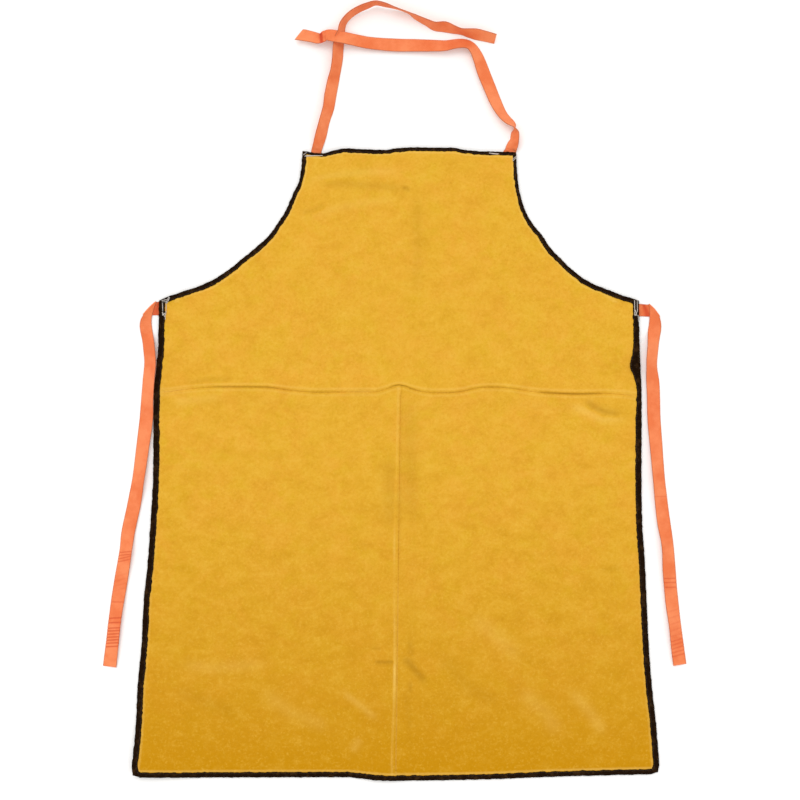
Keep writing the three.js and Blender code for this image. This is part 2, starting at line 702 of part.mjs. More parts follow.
// One row across the webbing, rolled about its own length and standing on the surface
function webbingRow(x, y, way, rollDegrees, lift) {
  const roll = THREE.MathUtils.degToRad(rollDegrees);
  const side = new THREE.Vector3(way.y, -way.x, 0).normalize();
  const across = side.multiplyScalar(Math.cos(roll)).setZ(Math.sin(roll));
  const rise = (webbingWidth * Math.abs(Math.sin(roll)) + webbingThickness * Math.abs(Math.cos(roll))) / 2;
  const centre = new THREE.Vector3(x, y, rise + lift);
  return {
    left: centre.clone().addScaledVector(across, -webbingWidth / 2),
    right: centre.clone().addScaledVector(across, webbingWidth / 2),
  };
}

// Rows along a smooth path through points that carry x, y, roll and lift
const stepsBetween = 2; // rows from one of the points to the next
function rowsAlong(stops) {
  const corners = stops.map((stop) => new THREE.Vector3(stop.x, stop.y, stop.lift));
  const path = new THREE.CatmullRomCurve3(corners);
  const places = stops.map((stop, k) => ({ ...stop, k }));
  const rollAt = smoothColumn(places, 'k', 'roll');
  const last = stops.length - 1;
  const count = Math.round(last * stepsBetween);
  return Array.from({ length: count + 1 }, (_, step) => {
    const share = step / count;
    const point = path.getPoint(share);
    return webbingRow(point.x, point.y, path.getTangent(share), rollAt(share * last), Math.max(point.z, 0));
  });
}

function neckTie(under, route) {
  const middle = middleX(apronLength);
  const stops = route.map((row) => ({
    x: middle + (row.across * bibWidth) / 2,
    y: apronLength + row.up * neckReach,
    roll: row.roll,
    lift: row.lift * webbingWidth,
  }));
  const start = [
    { x: under, y: apronLength - tieTuck, roll: 0, lift: 0 },
    { x: under, y: apronLength - tieTuck / 3, roll: 0, lift: 0 },
  ];
  return webbingFrom(rowsAlong([...start, ...stops]));
}

// A waist tie runs out from under the leather, folds over on a slant and turns down beside the skirt
const foldSetback = 1.5; // slanted fold to the last flat row of either layer
const layerSink = 0.2; // share of the upper layer's height lost where it starts to come down
function waistTie(side, stub, route) {
  const edge = outlineX(side, waistHeight - webbingWidth / 2);
  const top = waistHeight - gap;
  const innerX = edge + side * stub;
  const outerX = innerX + side * webbingWidth;
  const flat = webbingThickness / 2;
  const layer = webbingThickness + gap;
  const slant = new THREE.Vector3(side, 1, 0).normalize();
  const crossRow = (x) => ({
    left: new THREE.Vector3(x, top, flat),
    right: new THREE.Vector3(x, top - webbingWidth, flat),
  });
  const slantRow = (out, z) => ({
    left: new THREE.Vector3(innerX, top, z).addScaledVector(slant, out),
    right: new THREE.Vector3(outerX, top - webbingWidth, z).addScaledVector(slant, out),
  });
  const corner = [
    crossRow(edge - side * tieTuck),
    crossRow(edge),
    crossRow(innerX - side * foldSetback * 2),
    slantRow(-foldSetback, flat),
    slantRow(0, flat),
    slantRow(layer / 2, flat + layer / 2),
    slantRow(0, flat + layer),
    slantRow(-foldSetback, flat + layer),
  ];
  const besideX = (height, beside) => outlineX(side, height) + side * beside * webbingWidth;
  const leave = { x: (innerX + outerX) / 2, y: top - webbingWidth - foldSetback * 2, roll: 0, lift: layer };
  const settle = { ...leave, y: leave.y - webbingWidth / 3, lift: layer * (1 - layerSink) };
  const stops = route.map((row) => {
    const y = waistHeight - row.down * waistTieDrop;
    return { x: besideX(y, row.beside), y, roll: side * row.roll, lift: 0 };
  });
  // Past the fold the webbing shows its other face, so its edges change sides
  const down = rowsAlong([leave, settle, ...stops]);
  const turned = down.map((row) => (side > 0 ? { left: row.right, right: row.left } : row));
  return webbingFrom([...corner, ...turned]);
}

const leatherFinish = { color: 0xe8a93a, roughness: 0.95, metalness: 0 };
const tapeFinish = { color: 0x1b1412, roughness: 0.85, metalness: 0 };
const webbingFinish = { color: 0xff8a4e, roughness: 0.7, metalness: 0 };

const apron = new THREE.Group();
function add(name, geometry, finish) {
  const mesh = new THREE.Mesh(geometry, new THREE.MeshStandardMaterial(finish));
  mesh.name = name;
  apron.add(mesh);
}

add('bib_panel', sheetFrom(bib.grid, leatherThickness), leatherFinish);
add('skirt_panel_left', sheetFrom(skirt.left.grid, leatherThickness), leatherFinish);
add('skirt_panel_right', sheetFrom(skirt.right.grid, leatherThickness), leatherFinish);
edgeRuns.forEach((run, k) => {
  const before = edgeRuns[(k + edgeRuns.length - 1) % edgeRuns.length].points.at(-2);
  const after = edgeRuns[(k + 1) % edgeRuns.length].points[1];
  add(run.name, bindingFrom(run, before, after), tapeFinish);
});
add('neck_tie_left', neckTie(outlineX(-1, apronLength) + leftTieInset, leftNeckRoute), webbingFinish);
add('neck_tie_right', neckTie(outlineX(1, apronLength) - rightTieInset, rightNeckRoute), webbingFinish);
add('waist_tie_left', waistTie(-1, leftStub, leftWaistRoute), webbingFinish);
add('waist_tie_right', waistTie(1, rightStub, rightWaistRoute), webbingFinish);

// The origin is on the surface, under the middle of the whole laid apron
const box = new THREE.Box3().setFromObject(apron);
const centre = box.getCenter(new THREE.Vector3());
apron.position.set(-centre.x, -centre.y, -box.min.z);
apron.updateMatrixWorld(true);

export default apron;
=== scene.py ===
import math

import bmesh
import bpy
import numpy as np
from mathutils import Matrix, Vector, noise


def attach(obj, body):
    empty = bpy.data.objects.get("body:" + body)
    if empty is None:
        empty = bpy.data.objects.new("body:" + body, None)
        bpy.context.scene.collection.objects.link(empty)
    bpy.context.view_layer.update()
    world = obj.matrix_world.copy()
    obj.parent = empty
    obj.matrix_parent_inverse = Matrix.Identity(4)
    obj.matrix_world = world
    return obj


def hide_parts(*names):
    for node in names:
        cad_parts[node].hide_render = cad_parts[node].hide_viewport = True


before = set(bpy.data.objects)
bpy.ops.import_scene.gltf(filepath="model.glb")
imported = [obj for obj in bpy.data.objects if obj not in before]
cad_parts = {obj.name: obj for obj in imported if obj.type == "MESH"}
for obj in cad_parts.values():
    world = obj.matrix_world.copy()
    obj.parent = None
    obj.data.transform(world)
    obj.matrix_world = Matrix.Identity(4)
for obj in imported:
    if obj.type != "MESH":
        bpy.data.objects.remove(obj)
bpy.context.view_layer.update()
mm = 0.001
scene = bpy.context.scene

# camera straight above the middle of the picture
view = {"middleX": 7.6, "middleY": -13.8, "frameWidth": 1146.5, "lens": 85, "level": 3}

cameraData = bpy.data.cameras.new("overheadCamera")
camera = bpy.data.objects.new("overheadCamera", cameraData)
scene.collection.objects.link(camera)
cameraData.lens = view["lens"]
cameraData.clip_end = 50
above = view["frameWidth"] * view["lens"] / cameraData.sensor_width + view["level"]
camera.location = (view["middleX"] * mm, view["middleY"] * mm, above * mm)
scene.camera = camera
print("camera placed")

# the cut of the apron, in millimetres, over the binding
cut = {
    "length": 900, "bibWidth": 308, "waistWidth": 688, "hemWidth": 758,
    "armholeDepth": 215.5, "seamDrop": 345, "bibLean": 13, "hemLean": -5.5,
    "centreSeamShift": 2.5, "topRipple": 4, "seamRipple": 6, "hemRipple": 5,
    "hemCorner": 9, "originX": 6.928, "originY": -555.523,
}
origin = np.array([cut["originX"], cut["originY"], 0])
suede = {"thickness": 1.5, "gap": 0.3, "allowance": 10, "seamLip": 0.9, "wrinkle": 0.5}
tape = {"thickness": 0.7, "leg": 6.5, "ease": 0.4, "stitchInset": 1.7, "step": 1.5}
legs = {
    "hem": 6.6, "side_right": 7.8, "armhole_right": 5.9, "top": 4.3, "armhole_left": 5.9, "side_left": 7.8,
}
# the armhole legs lose this much over their upper part
thinner = {"armhole_left": 1, "armhole_right": 2, "from": 750, "over": 110}
webbing = {
    "width": 20, "thickness": 1.2, "step": 0.8, "tuck": 24, "gather": 26, "neckReach": 214, "waistDrop": 525,
}
# the photo: millimetres a pixel, column of the body's middle and row of the hem
photo = {"scale": 1.4331, "middle": 399.5, "hem": 778}

waistHeight = cut["length"] - cut["armholeDepth"]
seamHeight = cut["length"] - cut["seamDrop"]
wrap = tape["thickness"] + suede["gap"]
foldRadius = (suede["thickness"] + suede["gap"]) / 2
foldNose = foldRadius + suede["thickness"] / 2
seamReach = foldNose - 0.3
turnFrom = 13.4
bindingStation = tape["leg"] + 1.5
seamStation = suede["allowance"] + 2
innerStation = 26
bindingLift = tape["thickness"] + tape["ease"]
seamLift = suede["thickness"] + suede["gap"]
tuckLift = webbing["thickness"] + suede["gap"]

armholeShape = {
    "down": [0, 0.1, 0.2, 0.3, 0.41, 0.5, 0.57, 0.65, 0.73, 0.81, 0.89, 0.93, 0.97, 1],
    "left": [-0.01, -0.01, 0.002, 0.045, 0.094, 0.154, 0.205, 0.3, 0.405, 0.512, 0.662, 0.79, 0.925, 1],
    "right": [0, 0.011, 0.026, 0.053, 0.101, 0.168, 0.238, 0.303, 0.397, 0.498, 0.638, 0.76, 0.875, 1],
}
sideShape = {
    "down": [0, 0.09, 0.14, 0.2, 0.37, 0.46, 0.54, 0.63, 0.72, 0.82, 0.89, 1],
    "left": [0.02, 0.035, 0.11, 0.21, 0.215, 0.297, 0.39, 0.55, 0.625, 0.784, 0.83, 1],
    "right": [-0.03, 0.013, 0.06, 0.12, 0.14, 0.186, 0.3, 0.395, 0.49, 0.655, 0.816, 1],
}
topShape = {
    "across": [0, 0.09, 0.145, 0.2, 0.27, 0.39, 0.45, 0.51, 0.7, 0.755, 0.81, 1],
    "drop": [0.35, 1.3, 0.28, -0.53, -0.35, -0.07, -0.72, -0.93, -0.82, -0.07, 0.35, 0.82],
}
seamShape = {
    "across": [0.0, 0.029, 0.054, 0.079, 0.103, 0.128, 0.178, 0.228, 0.253, 0.278, 0.303, 0.336, 0.369,
               0.41, 0.452, 0.477, 0.489, 0.502, 0.514, 0.527, 0.551, 0.576, 0.614, 0.632, 0.651, 0.676,
               0.701, 0.726, 0.75, 0.775, 0.8, 0.833, 0.867, 0.9, 0.925, 0.95, 0.974, 1],
    "drop": [0.45, 0.26, -0.17, -0.53, -0.76, -0.91, -0.91, -0.86, -0.57, -0.14, 0.12, 0.38, 0.33, 0.29,
             0.29, -0.41, -0.98, -1.27, -1.05, -0.55, 0.21, 0.5, 0.41, 0.17, -0.38, -0.84, -0.88, -0.69,
             -0.31, 0.17, 0.48, 0.67, 0.81, 0.74, 0.64, 0.81, 1.05, 1.65],
}
hemShape = {
    "across": [0, 0.1, 0.4, 0.47, 0.5, 0.65, 0.81, 1],
    "drop": [-0.4, -0.1, -0.2, 0.65, 0.8, 0.5, -0.4, -1.1],
}
# across is a share of the half width, up and radius of the length, height of the leather's thickness
humps = [
    {"across": -1, "up": 0, "radius": 0.13, "height": 4.6},
    {"across": -0.05, "up": 0, "radius": 0.05, "height": 2.2},
    {"across": 0.86, "up": 0.55, "radius": 0.07, "height": 1},
    {"across": -0.75, "up": 1, "radius": 0.05, "height": 1.2},
    {"across": 0.05, "up": 1, "radius": 0.06, "height": 1.4},
    {"across": 0.45, "up": 1, "radius": 0.05, "height": 1},
    {"across": -0.06, "up": 0.14, "radius": 0.07, "height": 1.1},
    {"across": 0.13, "up": 0.13, "radius": 0.06, "height": 0.9},
    {"across": -0.55, "up": 0.37, "radius": 0.11, "height": 0.9},
    {"across": 0.5, "up": 0.3, "radius": 0.1, "height": 0.9},
    {"across": -0.4, "up": 0.72, "radius": 0.08, "height": 0.9},
    {"across": 0.35, "up": 0.82, "radius": 0.07, "height": 0.8},
]
# soft creases and raised lines, with painted shade along the creases and painted highlight along the raised
# lines: stops from the body's middle and hem, width, tone and height
marks = [
    {"along": [(-36, 165.2), (-19.3, 165.4), (-6.4, 166)], "width": 2.3, "tone": -0.6, "depth": -0.12},
    {"along": [(-42, 186.5), (-26, 186)], "width": 2.2, "tone": -0.25, "depth": -0.05},
    {"along": [(2.9, 169.5), (12, 167), (22, 155), (38, 137)], "width": 5.5, "tone": -0.42, "depth": -0.12},
    {"along": [(13.6, 197.8), (18, 175)], "width": 4.5, "tone": -0.2, "depth": -0.1},
    {"along": [(15, 138), (15.5, 122)], "width": 2.4, "tone": -0.3, "depth": -0.05},
    {"along": [(7.9, 126.1), (15, 68.8)], "width": 4.4, "tone": -0.11, "depth": -0.10},
    {"along": [(-81, 123.2), (-53.7, 101.8), (-32.2, 84.6)], "width": 5.0, "tone": 0.18, "depth": 0.17},
    {"along": [(-68.1, 37.3), (-56.6, 57.3)], "width": 6.2, "tone": 0.16, "depth": 0.10},
    {"along": [(-116.8, 852.7), (-70.9, 851.3), (-20.8, 847), (13.6, 844.1)],
     "width": 6.2, "tone": -0.19, "depth": -0.20},
    {"along": [(3.6, 847), (15, 843.4)], "width": 2.6, "tone": -0.40, "depth": -0.14},
    {"along": [(-135.4, 854.1), (-99.6, 862.7), (-49.4, 868.5), (0.7, 869.9)],
     "width": 5.6, "tone": 0.16, "depth": 0.20},
    {"along": [(-141.2, 809.7), (-122.5, 814), (-105.3, 821.2)],
     "width": 4.4, "tone": -0.18, "depth": -0.15},
    {"along": [(-134, 802.5), (-99.6, 815.4), (-42.3, 825.5), (-2.1, 829.8)],
     "width": 6.2, "tone": 0.11, "depth": 0.15},
    {"along": [(25.1, 839.8), (26.5, 771), (23.6, 687.9)], "width": 9.0, "tone": -0.11, "depth": -0.12},
    {"along": [(-16.5, 462.9), (-12.2, 412.7), (-13.6, 355.4)],
     "width": 13.5, "tone": -0.17, "depth": -0.18},
    {"along": [(12.2, 548.9), (13.6, 484.4), (15, 369.7)], "width": 13.5, "tone": -0.15, "depth": -0.12},
    {"along": [(266, 543), (276, 534), (292, 525), (318.9, 520.2)],
     "width": 5.5, "tone": -0.38, "depth": -0.2},
    {"along": [(245.8, 534), (268, 524.5), (291, 513), (325, 516)],
     "width": 5.5, "tone": 0.24, "depth": 0.25},
    {"along": [(-326, 540.3), (-285.9, 543.1), (-254.4, 547.4)], "width": 5.6, "tone": 0.14, "depth": 0.15},
    {"along": [(-306, 564.6), (-278.7, 570.4), (-240, 571.8)], "width": 4.4, "tone": -0.14, "depth": -0.15},
    {"along": [(287.3, 298.1), (318.9, 301)], "width": 4.4, "tone": -0.14, "depth": -0.15},
    {"along": [(101, 232.2), (136.9, 206.4), (172.7, 169.1)], "width": 12.0, "tone": 0.11, "depth": 0.24},
    {"along": [(172.7, 126.1), (208.5, 94.6), (230, 61.6)], "width": 12.0, "tone": 0.12, "depth": 0.24},
    {"along": [(58, 176.3), (101, 126.1), (144, 104.6)], "width": 10.5, "tone": -0.12, "depth": -0.24},
    {"along": [(244.3, 126.1), (273, 94.6), (294.5, 61.6)], "width": 9.0, "tone": 0.14, "depth": 0.24},
    {"along": [(-314.6, 161.9), (-264.4, 157.6), (-192.8, 163.4)],
     "width": 9.0, "tone": 0.12, "depth": 0.18},
    {"along": [(-321.7, 126.1), (-278.7, 108.9), (-228.6, 86)],
     "width": 10.5, "tone": -0.12, "depth": -0.18},
    {"along": [(-197.1, 126.1), (-156.9, 94.6), (-99.6, 71.7)], "width": 10.5, "tone": 0.11, "depth": 0.18},
]


def smoothTable(table, place, column):
    xs = np.array(table[place], float)
    ys = np.array(table[column], float)
    rises = np.diff(ys) / np.diff(xs)
    slopes = np.zeros(len(xs))
    slopes[0], slopes[-1] = rises[0], rises[-1]
    same = rises[:-1] * rises[1:] > 0
    both = np.where(same, rises[:-1] + rises[1:], 1)
    slopes[1:-1] = np.where(same, 2 * rises[:-1] * rises[1:] / both, 0)

    def at(value):
        v = np.clip(np.asarray(value, float), xs[0], xs[-1])
        k = np.clip(np.searchsorted(xs, v, side="right") - 1, 0, len(xs) - 2)
        span = xs[k + 1] - xs[k]
        t = (v - xs[k]) / span
        bend = slopes[k] * t * (1 - t) ** 2 - slopes[k + 1] * t * t * (1 - t)
        return ys[k] + (ys[k + 1] - ys[k]) * t * t * (3 - 2 * t) + bend * span

    return at


armholeOut = {side: smoothTable(armholeShape, "down", name) for side, name in ((-1, "left"), (1, "right"))}
sideOut = {side: smoothTable(sideShape, "down", name) for side, name in ((-1, "left"), (1, "right"))}
topWave = smoothTable(topShape, "across", "drop")
seamWave = smoothTable(seamShape, "across", "drop")
hemWave = smoothTable(hemShape, "across", "drop")


def soften(t):
    held = np.clip(t, 0, 1)
    return held * held * (3 - 2 * held)


def mix(a, b, t):
    return a + (b - a) * t


def middleX(height):
    up = np.asarray(height, float) - waistHeight
    return np.where(up > 0, cut["bibLean"] * up / cut["armholeDepth"], -cut["hemLean"] * up / waistHeight)


def outlineX(side, height):
    height = np.asarray(height, float)
    bibOut = armholeOut[side](np.clip((cut["length"] - height) / cut["armholeDepth"], 0, 1))
    skirtOut = sideOut[side](np.clip(1 - height / waistHeight, 0, 1))
    width = np.where(
        height > waistHeight,
        mix(cut["bibWidth"], cut["waistWidth"], bibOut),
        mix(cut["waistWidth"], cut["hemWidth"], skirtOut),
    )
    return middleX(height) + side * width / 2


def edgeStretch(side, height):
    height = np.asarray(height, float)
    low = np.where(height > waistHeight - 2 * wrap, np.maximum(height, waistHeight), height - 4)
    slope = (outlineX(side, low + 4) - outlineX(side, low)) / 4
    return np.hypot(1, slope)


def insetX(side, height, distance):
    stretch = edgeStretch(side, height)
    edge = outlineX(side, height) - side * wrap * np.where(np.asarray(height) > waistHeight, stretch, 1)
    return edge - side * distance * stretch


def centreSeamX(height):
    return middleX(height) + cut["centreSeamShift"] * height / seamHeight


def acrossAt(x, height):
    left, right = outlineX(-1, height), outlineX(1, height)
    return (x - left) / (right - left)


def bibHeight(across, drop):
    nearTop = np.clip(1 - drop / cut["armholeDepth"], 0, 1) ** 3
    nearSeam = np.clip((drop - cut["armholeDepth"]) / (cut["seamDrop"] - cut["armholeDepth"]), 0, 1) ** 2
    ripple = cut["topRipple"] * topWave(across) * nearTop + cut["seamRipple"] * seamWave(across) * nearSeam
    return cut["length"] - drop - ripple


def skirtHeight(across, drop):
    down = np.clip(drop / seamHeight, 0, 1)
    ripple = cut["seamRipple"] * seamWave(across) * (1 - down) ** 2
    return seamHeight - drop - (ripple + cut["hemRipple"] * hemWave(across) * down ** 3)


tieInset = {-1: 20.5, 1: 12}
half = {name: webbing[name] / 2 for name in ("tuck", "width")}
tucks = [(float(outlineX(side, cut["length"])) - side * tieInset[side], cut["length"] - half["tuck"])
         for side in (-1, 1)]
tucks += [(float(outlineX(side, waistHeight)) - side * half["tuck"], waistHeight - half["width"])
          for side in (-1, 1)]


def humpLift(x, y):
    overTies = np.zeros_like(x)
    for tuckX, tuckY in tucks:
        away = np.hypot(x - tuckX, y - tuckY) - 2.3 * webbing["width"]
        overTies = np.maximum(overTies, tuckLift * soften(1 - away / (3 * webbing["width"])))
    lift = overTies
    for hump in humps:
        height = hump["up"] * cut["length"]
        centre = mix(float(outlineX(-1, height)), float(outlineX(1, height)), (hump["across"] + 1) / 2)
        away = np.hypot(x - centre, y - height) / (hump["radius"] * cut["length"])
        lift = lift + hump["height"] * suede["thickness"] * soften(1 - away)
    return lift


def wave(x, y, scale, seed, octaves=3):
    flat = [noise.fractal(Vector((a / scale, b / scale, seed)), 0.8, 2.1, octaves)
            for a, b in zip(x.ravel(), y.ravel())]
    return np.array(flat).reshape(x.shape)


def markField(x, y, column):
    total = np.zeros_like(x)
    for mark in marks:
        stops = np.array(mark["along"], float)
        lengths = np.linalg.norm(np.diff(stops, axis=0), axis=1)
        best = np.full(x.shape, 1e9)
        share = np.zeros_like(x)
        walked = 0
        for (ax, ay), (bx, by), length in zip(stops[:-1], stops[1:], lengths):
            along = np.clip(((x - ax) * (bx - ax) + (y - ay) * (by - ay)) / length ** 2, 0, 1)
            away = np.hypot(x - ax - along * (bx - ax), y - ay - along * (by - ay))
            nearer = away < best
            best = np.where(nearer, away, best)
            share = np.where(nearer, (walked + along * length) / lengths.sum(), share)
            walked += length
        taper = soften(share * 4 + 0.25) * soften((1 - share) * 4 + 0.25)
        total = total + mark[column] * taper * np.exp(-(best / mark["width"]) ** 2)
    return total


def suedeLevel(x, y, fromBinding, fromSeam, lip):
    nearBinding = soften((innerStation - fromBinding) / (innerStation - bindingStation))
    nearSeam = soften((innerStation - fromSeam) / (innerStation - seamStation))
    held = bindingLift * nearBinding
    base = held + (seamLift - held) * nearSeam * soften((fromBinding - bindingStation) / 5)
    free = 1 - nearBinding
    rolled = lip * np.exp(-((fromSeam - 2.6) / 2.4) ** 2) * free
    wrinkles = suede["wrinkle"] * (1.2 + wave(x, y, 55, 3.1) + 0.6 * wave(x, y, 17, 8.7))
    creases = np.maximum(markField(x, y, "depth") + wrinkles, 0) * free
    return base + humpLift(x, y) + creases + rolled + suede["thickness"] / 2


def spaced(stops, steps):
    parts = [np.linspace(a, b, max(int(round((b - a) / step)), 1), endpoint=False)
             for a, b, step in zip(stops[:-1], stops[1:], steps)]
    return np.append(np.concatenate(parts), stops[-1])


foldAngles = np.radians([18, 36, 54, 72, 90, 108, 126, 144, 162, 180])


def near(value, centre, width):
    return np.exp(-((value - centre) / width) ** 2)


# how dark the painted shadow along the horizontal seam is (a painted highlight where above 0), and how pale
# the painted highlight on the centre seam's raised ridge
seamTone = smoothTable({
    "x": [-342, -320, -309, -292, -274, -257, -229, -188, -171, -137, -120, -85, -68, -51, -34, -16, -5, 4,
          18, 35, 70, 104, 138, 155, 173, 190, 207, 241, 276, 293, 310, 327, 342],
    "tone": [0.3, 0.22, 0.15, -0.05, -0.12, -0.45, -0.5, -0.52, -0.28, -0.14, -0.25, -0.08, 0.1, 0.16, 0,
             -0.12, -0.8, -0.85, -0.42, -0.1, -0.26, -0.2, -0.34, -0.18, -0.18, 0.06, -0.45, -0.66, -0.56,
             -0.14, -0.05, 0.12, 0.2],
}, "x", "tone")
ridgeTone = smoothTable({
    "height": [0, 26, 47, 68, 90, 112, 133, 155, 176, 198, 219, 240, 262, 283, 305, 327, 370, 455, 541],
    "tone": [0.22, 0.25, 0.17, 0.2, 0.17, 0.3, 0.5, 0.68, 0.28, 0.25, 0.28, 0.13, 0.13, 0.05, 0.1, 0.3,
             0.14, 0.2, 0.22],
}, "height", "tone")


def legAt(name, height):
    up = (np.asarray(height, float) - thinner["from"]) / thinner["over"]
    return legs[name] - thinner.get(name, 0) * soften(up)


# painted highlight on the strip of suede that rises to the binding
def rimHighlight(distance, leg):
    return 0.38 * near(distance, leg + 1.4, 0.9)


def foldPoints(edge, turn):
    rings = []
    for angle in foldAngles:
        ring = edge + np.array(turn) * foldRadius * math.sin(angle)
        ring[..., 2] -= foldRadius * (1 - math.cos(angle))
        rings.append(ring)
    for share in (0.33, 0.66, 1):
        end = edge - np.array(turn) * suede["allowance"] * share
        end[..., 2] -= 2 * foldRadius
        rings.append(end)
    return rings


def closeEnds(edge, turned):
    for k in np.flatnonzero(turned[1:] != turned[:-1]):
        flat, folded = (k, k + 1) if turned[k + 1] else (k + 1, k)
        edge[flat] = mix(edge[flat], edge[folded], 0.92)
        edge[flat, 2] -= 0.5


def cornerPull(points, fromHem, fromSide, side):
    pull = cut["hemCorner"] * (1 - math.sqrt(0.5))
    weight = soften(1 - fromHem / 14) * soften(1 - fromSide / 14)
    points[..., 0] -= side * pull * weight
    points[..., 1] += pull * weight


def gridNormals(points, valid):
    def direction(axis):
        step = np.diff(points, axis=axis)
        step = step / np.maximum(np.linalg.norm(step, axis=2, keepdims=True), 1e-9)
        both = valid[1:] & valid[:-1] if axis == 0 else valid[:, 1:] & valid[:, :-1]
        step = np.where(both[..., None], step, 0)
        total = np.zeros_like(points)
        if axis == 0:
            total[:-1] += step
            total[1:] += step
        else:
            total[:, :-1] += step
            total[:, 1:] += step
        return total

    normal = np.cross(direction(0), direction(1))
    return normal / np.maximum(np.linalg.norm(normal, axis=2, keepdims=True), 1e-9)


def addPiece(name, vertices, faces, uvs=None, smoothAngle=40, tone=None):
    place = np.array(vertices, float)
    place = (place + origin) * mm
    mesh = bpy.data.meshes.new(name)
    mesh.from_pydata(place.tolist(), [], faces)
    if uvs is not None:
        layer = mesh.uv_layers.new(name="UVMap")
        loops = np.empty(len(mesh.loops), int)
        mesh.loops.foreach_get("vertex_index", loops)
        layer.data.foreach_set("uv", np.array(uvs, np.float32)[loops].ravel())
    # the tone attribute holds painted light: painted highlight above 0, painted shade below 0
    if tone is not None:
        painted = mesh.attributes.new("tone", "FLOAT", "POINT")
        painted.data.foreach_set("value", np.array(tone, np.float32))
    mesh.shade_smooth()
    mesh.set_sharp_from_angle(angle=math.radians(smoothAngle))
    mesh.validate()
    piece = bpy.data.objects.new(name, mesh)
    scene.collection.objects.link(piece)
    return piece


def sheetPiece(name, points, valid, thickness, tone):
    normal = gridNormals(points, valid)
    numbers = np.full(valid.shape, -1)
    numbers[valid] = np.arange(valid.sum())
    count = int(valid.sum())
    upper = (points + normal * thickness / 2)[valid]
    lower = (points - normal * thickness / 2)[valid]
    a, b = numbers[:-1, :-1], numbers[1:, :-1]
    c, d = numbers[1:, 1:], numbers[:-1, 1:]
    whole = (a >= 0) & (b >= 0) & (c >= 0) & (d >= 0)
    quads = np.stack([a[whole], b[whole], c[whole], d[whole]], axis=1)
    edges = {}
    for quad in quads.tolist():
        for k in range(4):
            one, two = quad[k], quad[(k + 1) % 4]
            if (two, one) in edges:
                del edges[(two, one)]
            else:
                edges[(one, two)] = True
    faces = quads.tolist() + (quads[:, ::-1] + count).tolist()
    faces += [[one, one + count, two + count, two] for one, two in edges]
    return addPiece(name, np.concatenate([upper, lower]), faces, tone=np.tile(tone[valid], 2))


def bibSheet():
    drops = spaced([wrap, wrap + bindingStation, wrap + innerStation, cut["armholeDepth"] + wrap,
                    cut["seamDrop"] - seamReach - innerStation, cut["seamDrop"] - seamReach - seamStation,
                    cut["seamDrop"] - seamReach], [2, 3, 3.6, 3.4, 2.8, 1.5])
    columns = 190
    shares = np.linspace(0, 1, columns)
    rows = []
    for drop in drops:
        left = float(insetX(-1, bibHeight(0, drop), 0))
        right = float(insetX(1, bibHeight(1, drop), 0))
        x = mix(left, right, shares)
        y = bibHeight(acrossAt(x, cut["length"] - drop), drop)
        fromLeft = (x - left) / float(edgeStretch(-1, bibHeight(0, drop)))
        fromRight = (right - x) / float(edgeStretch(1, bibHeight(1, drop)))
        fromSide = np.minimum(fromLeft, fromRight)
        fromBinding = np.minimum(fromSide, drop - wrap)
        fromSeam = np.full_like(x, cut["seamDrop"] - seamReach - drop)
        rows.append((x, y, fromBinding, fromSeam, fromSide))
    x, y, fromBinding, fromSeam, fromSide = (np.array(part) for part in zip(*rows))
    z = suedeLevel(x, y, fromBinding, fromSeam, suede["seamLip"])
    main = np.stack([x, y, z], axis=2)
    sideLeg = np.where(x < 0, legAt("armhole_left", y), legAt("armhole_right", y))
    sideLeg = np.where(y > waistHeight, sideLeg, legs["side_left"])
    # painted light on the suede, kept as tone: painted shade in the creases and the seam groove, painted
    # highlight on raised lines, the seam lip and the strip inside the binding
    tone = markField(x, y, "tone") + rimHighlight(fromSide, sideLeg)
    tone += rimHighlight(drops[:, None] - wrap, legs["top"])
    groove = seamTone(x)
    tone += 0.22 * near(fromSeam, 3.2, 1.5) + groove * near(fromSeam, -0.4, 1.1)
    turned = fromSide[-1] >= turnFrom
    folds = foldPoints(main[-1], (0, -1, 0))
    closeEnds(main[-1], turned)
    main[-1][~turned] += np.array([0, -foldNose, 0])
    points = np.concatenate([main, np.array(folds)])
    valid = np.concatenate([np.ones(main.shape[:2], bool), np.tile(turned, (len(folds), 1))])
    # the turned seam edge carries the groove's painted shade
    tone = np.concatenate([tone, np.tile(groove[-1], (len(folds), 1))])
    return main, drops, sheetPiece("bib_suede", points, valid, suede["thickness"], tone)


